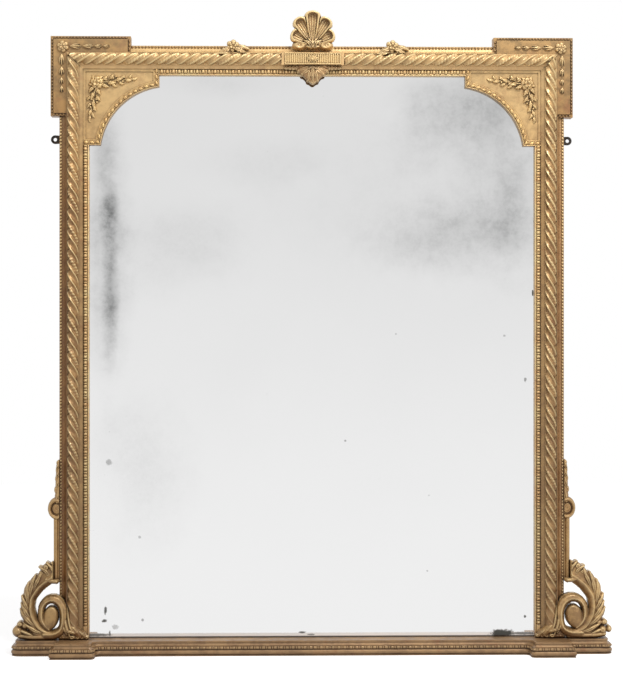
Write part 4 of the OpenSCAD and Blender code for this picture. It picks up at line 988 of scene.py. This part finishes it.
def foot_leaf():
    """Acanthus folded round the foot of the twisted ribbon, with strands from the console's curl."""
    r = Relief(-42, 36, 0, 104, at=(HALF_W - ROPE_S, PLINTH_H))
    # The ground under the console's curl
    r.leaf([(33, 12), (18, 12), (4, 10)], [12, 13, 11], [10, 11, 12], shape=6)
    for k in range(7):
        r.boss(32 - 4.2 * k, 6 + 6 * (k % 2), 3.2, 3.2, 12.8)
    # Strands that run down from the curl and turn under the foot
    for across, low, wide, high in ((28, 14, 9, 17), (20, 9, 10, 19), (11, 14, 8, 17)):
        r.leaf([(across + 2, 84), (across, 58), (across - 5, 34), (across - 14, low)],
               [2, 5, wide, wide, 5], [9, 14, high, high + 2, high], shape=2.0)
    # Broad folds towards the glass
    r.leaf([(8, 38), (-4, 25), (-17, 9)], [7, 13, 15, 12], [14, 17, 17, 13], rib=0.1)
    r.leaf([(-8, 26), (-19, 17), (-30, 7)], [5, 9, 10, 8], [9, 13, 13, 9], rib=0.15)
    r.leaf([(20, 26), (4, 21), (-14, 15)], [6, 8.5, 8, 4], [18, 23, 20, 13], rib=0.1)
    for place, wide, high, stand in (
        (1, 11, 8.5, 25), (-13, 8, 7.5, 18), (-24, 7, 6.5, 14), (-35, 6.5, 6.5, 10),
    ):
        r.boss(place, high - 1, wide, high, stand, dent=0.3)
    return r


for name, side in SIDES:
    foot_leaf().cut_out("acanthus_" + name, BED_D, 6.0, DARK_GILT, "foot_leaf_" + name, side,
                        slot="gilt_dark")


# ---- strip up each side, with its small volute and husks ----

STRIP_D, STRIP_BACK, STRIP_FOOT = 38.0, 10.0, 193.0
STRIP_TOP = 376.0       # where its volute's middle lies


def side_strip():
    """A moulded strip that rolls over into a volute, with a drop of husks standing on it."""
    r = Relief(0, 31, STRIP_FOOT - STRIP_TOP, 132, 0.8, at=(HALF_W, STRIP_TOP))
    out = r.u - HALF_W
    bands = np.interp(out, [0, 3, 4.5, 7, 11, 13.5, 14.8, 15], [0.6, 0.6, 4.4, 6.8, 7.0, 5.4, 3, -1])
    r.h = np.where(r.v < STRIP_TOP, bands, r.h)
    rise = (r.v - STRIP_TOP) * 0.78
    away = np.hypot(out - 8, rise)
    turn = np.arctan2(rise, out - 8) / math.pi
    ring = np.interp(away + 1.6 * turn, [0, 4, 9.6, 10, 12.6, 14.5, 18, 20.5, 22],
                     [4, 5.5, 4.5, 1, 1, 7.5, 9.6, 7, 1.5])
    r.h = np.where((away < 22) & (out > 0), np.maximum(ring, 1.0), r.h)
    z = 17
    for length, wide in ((43, 13), (27, 11), (23, 9.5), (20, 8)):
        r.leaf([(6, z), (1.5, z + length * 0.45), (2.5, z + length)],
               [wide * 0.45, wide * 0.8, wide * 0.7, wide * 0.3], [8, 9.5, 8, 5], rib=0.4)
        r.boss(wide * 0.72 - 1, z + length * 0.72, wide * 0.42, wide * 0.75, 9, dent=0.4)
        z += length * 0.93
    r.h = np.where(r.u < HALF_W + 0.1, -1, r.h)
    return r


for name, side in SIDES:
    side_strip().cut_out("side_strip_" + name, STRIP_D, STRIP_D - STRIP_BACK, STRIP_GILT,
                         "side_volute_" + name, side, slot="gilt_dark")


# ---- bead row on the plinth ----

ROW_LOW, ROW_HIGH, ROW_PITCH = 17.9, 24.6, 15.3
BEAD_H, BEAD_SUNK = 2.9, 0.6        # a bead's height, and how far its edge runs into the plinth


def bend(x, d, r, start, stop):
    """Points round a corner of the plinth's plan."""
    a = np.radians(np.linspace(start, stop, 16))
    return np.stack([x + r * np.cos(a), d + r * np.sin(a)], 1)


def plinth_plan():
    """The plinth's front edge in plan, from the middle to the right-hand end, as x and depth."""
    corners = np.concatenate([[(0.0, 92.0)], bend(543.5, 108, 16, -90, 0), bend(572.5, 129, 13, 180, 90),
                              [(670.5, 142), (670.5, 85)], bend(752.5, 62, 23, 90, 0), [(775.5, 12)]])
    run = run_of(corners)
    even = np.arange(0, run[-1], 1.2)
    return even, np.stack([np.interp(even, run, corners[:, k]) for k in (0, 1)], 1)


def bead_row(name, side):
    """Long and short beads by turns along the plinth's right or left half, on a ground darkened as painted
    shade between them.
    """
    run, plan = plinth_plan()
    out = left_of(plan)
    across = np.linspace(-1, 1, 11)[None, :]
    f = (run / ROW_PITCH)[:, None] % 1
    beads = np.maximum(dome(((f - 0.36) / 0.30) ** 2), 0.85 * dome(((f - 0.84) / 0.13) ** 2))
    h = -BEAD_SUNK + BEAD_H * dome(across ** 2) * beads
    z = ROW_LOW + (ROW_HIGH - ROW_LOW) * (across + 1) / 2
    x = plan[:, :1] + out[:, :1] * h
    d = plan[:, 1:] + out[:, 1:] * h
    add_piece(name, front(side * x, d, z), grid_faces(*h.shape, side > 0), BEAD_GILT)
    ground = plan[::8] + 0.25 * out[::8]
    points = front(side * ground[:, :1], ground[:, 1:], np.array([[ROW_LOW, ROW_HIGH]]))
    add_piece(name + "_ground", points, grid_faces(len(ground), 2, side > 0), BEAD_GAP_SHADE)


for name, side in SIDES:
    bead_row("plinth_beads_" + name, side)


# ---- stage ----

PHOTO_W, PIXEL = 623, 2.596         # the photograph's width, and what a pixel is in millimetres
CENTRE_X, HORIZON_Z = -3.0, 805.0
CAMERA_AWAY, FACE_D = 5000.0, 50.0  # the camera's distance from the frame's face, and that face's depth
TURN = math.radians(1.5)            # the left side is a little nearer
SENSOR_W = 36.0

focus = Vector((CENTRE_X, WALL_Y - FACE_D, HORIZON_Z)) * MM
camera = new_object("camera", bpy.data.cameras.new("camera"))
camera.location = focus + Vector((-math.sin(TURN), -math.cos(TURN), 0)) * CAMERA_AWAY * MM
camera.rotation_euler = (math.pi / 2, 0, -TURN)
camera.data.sensor_width = SENSOR_W
camera.data.sensor_fit = "HORIZONTAL"
camera.data.lens = SENSOR_W * CAMERA_AWAY / (PIXEL * PHOTO_W)
bpy.context.scene.camera = camera


def area_light(name, place, target, size, power):
    """A round lamp at a place, turned to its target. Both are in metres."""
    data = bpy.data.lights.new(name, "AREA")
    data.shape = "DISK"
    data.size = size
    data.energy = power
    lamp = new_object(name, data)
    lamp.location = place
    lamp.rotation_euler = (Vector(target) - Vector(place)).to_track_quat("-Z", "Y").to_euler()


area_light("key", (0.7, -1.6, 3.5), (0, 0, 1.1), 0.8, 54)
area_light("fill", (3.4, -3.2, 1.9), (0, 0, 0.8), 1.2, 24)

SKY_LIGHT = 0.38        # strength of the world as a light; the camera and reflections see it at 1


def studio():
    """A white world that lights the object from all sides."""
    n = Nodes("studio", "worlds", "Background")
    rays = n.add("ShaderNodeLightPath").outputs
    seen = n.maths("MAXIMUM", rays["Is Camera Ray"], rays["Is Glossy Ray"])
    level = n.set(n.add("ShaderNodeMapRange"), Value=seen, To_Min=SKY_LIGHT, To_Max=1.0)
    bpy.context.scene.world = n.surface(Color=(1, 1, 1, 1), Strength=level.outputs[0])


def pale_floor():
    """White to the camera and in reflections, and darkened by the shadow of what stands on it."""
    n = Nodes("pale_floor")
    speckle = n.ramp(n.noise(30, 3, 0.5), 0.3, 0.7)
    pale = n.mix(speckle, (0.78, 0.78, 0.78, 1), (0.8, 0.8, 0.8, 1))
    rays = n.add("ShaderNodeLightPath").outputs
    n.surface(Base_Color=pale, Roughness=1.0, Specular_IOR_Level=0.0, Emission_Color=(1, 1, 1, 1),
              Emission_Strength=n.maths("MULTIPLY", rays["Is Camera Ray"], 0.70))
    either = n.add("ShaderNodeMixShader")
    white = n.add("ShaderNodeEmission")
    for i, output in enumerate((rays["Is Glossy Ray"], n.shader.outputs[0], white.outputs[0])):
        n.feed(either.inputs[i], output)
    n.set(n.tree.nodes["Material Output"], Surface=either.outputs[0])
    return n.owner


def stage_floor():
    """The plain floor that the object stands on."""
    half = 6.0
    mesh = bpy.data.meshes.new("floor")
    mesh.from_pydata([(-half, -half, 0), (half, -half, 0), (half, half, 0), (-half, half, 0)], [],
                     [(0, 1, 2, 3)])
    mesh.materials.append(pale_floor())
    new_object("floor", mesh)


studio()
stage_floor()
bpy.context.scene.view_settings.view_transform = "Standard"
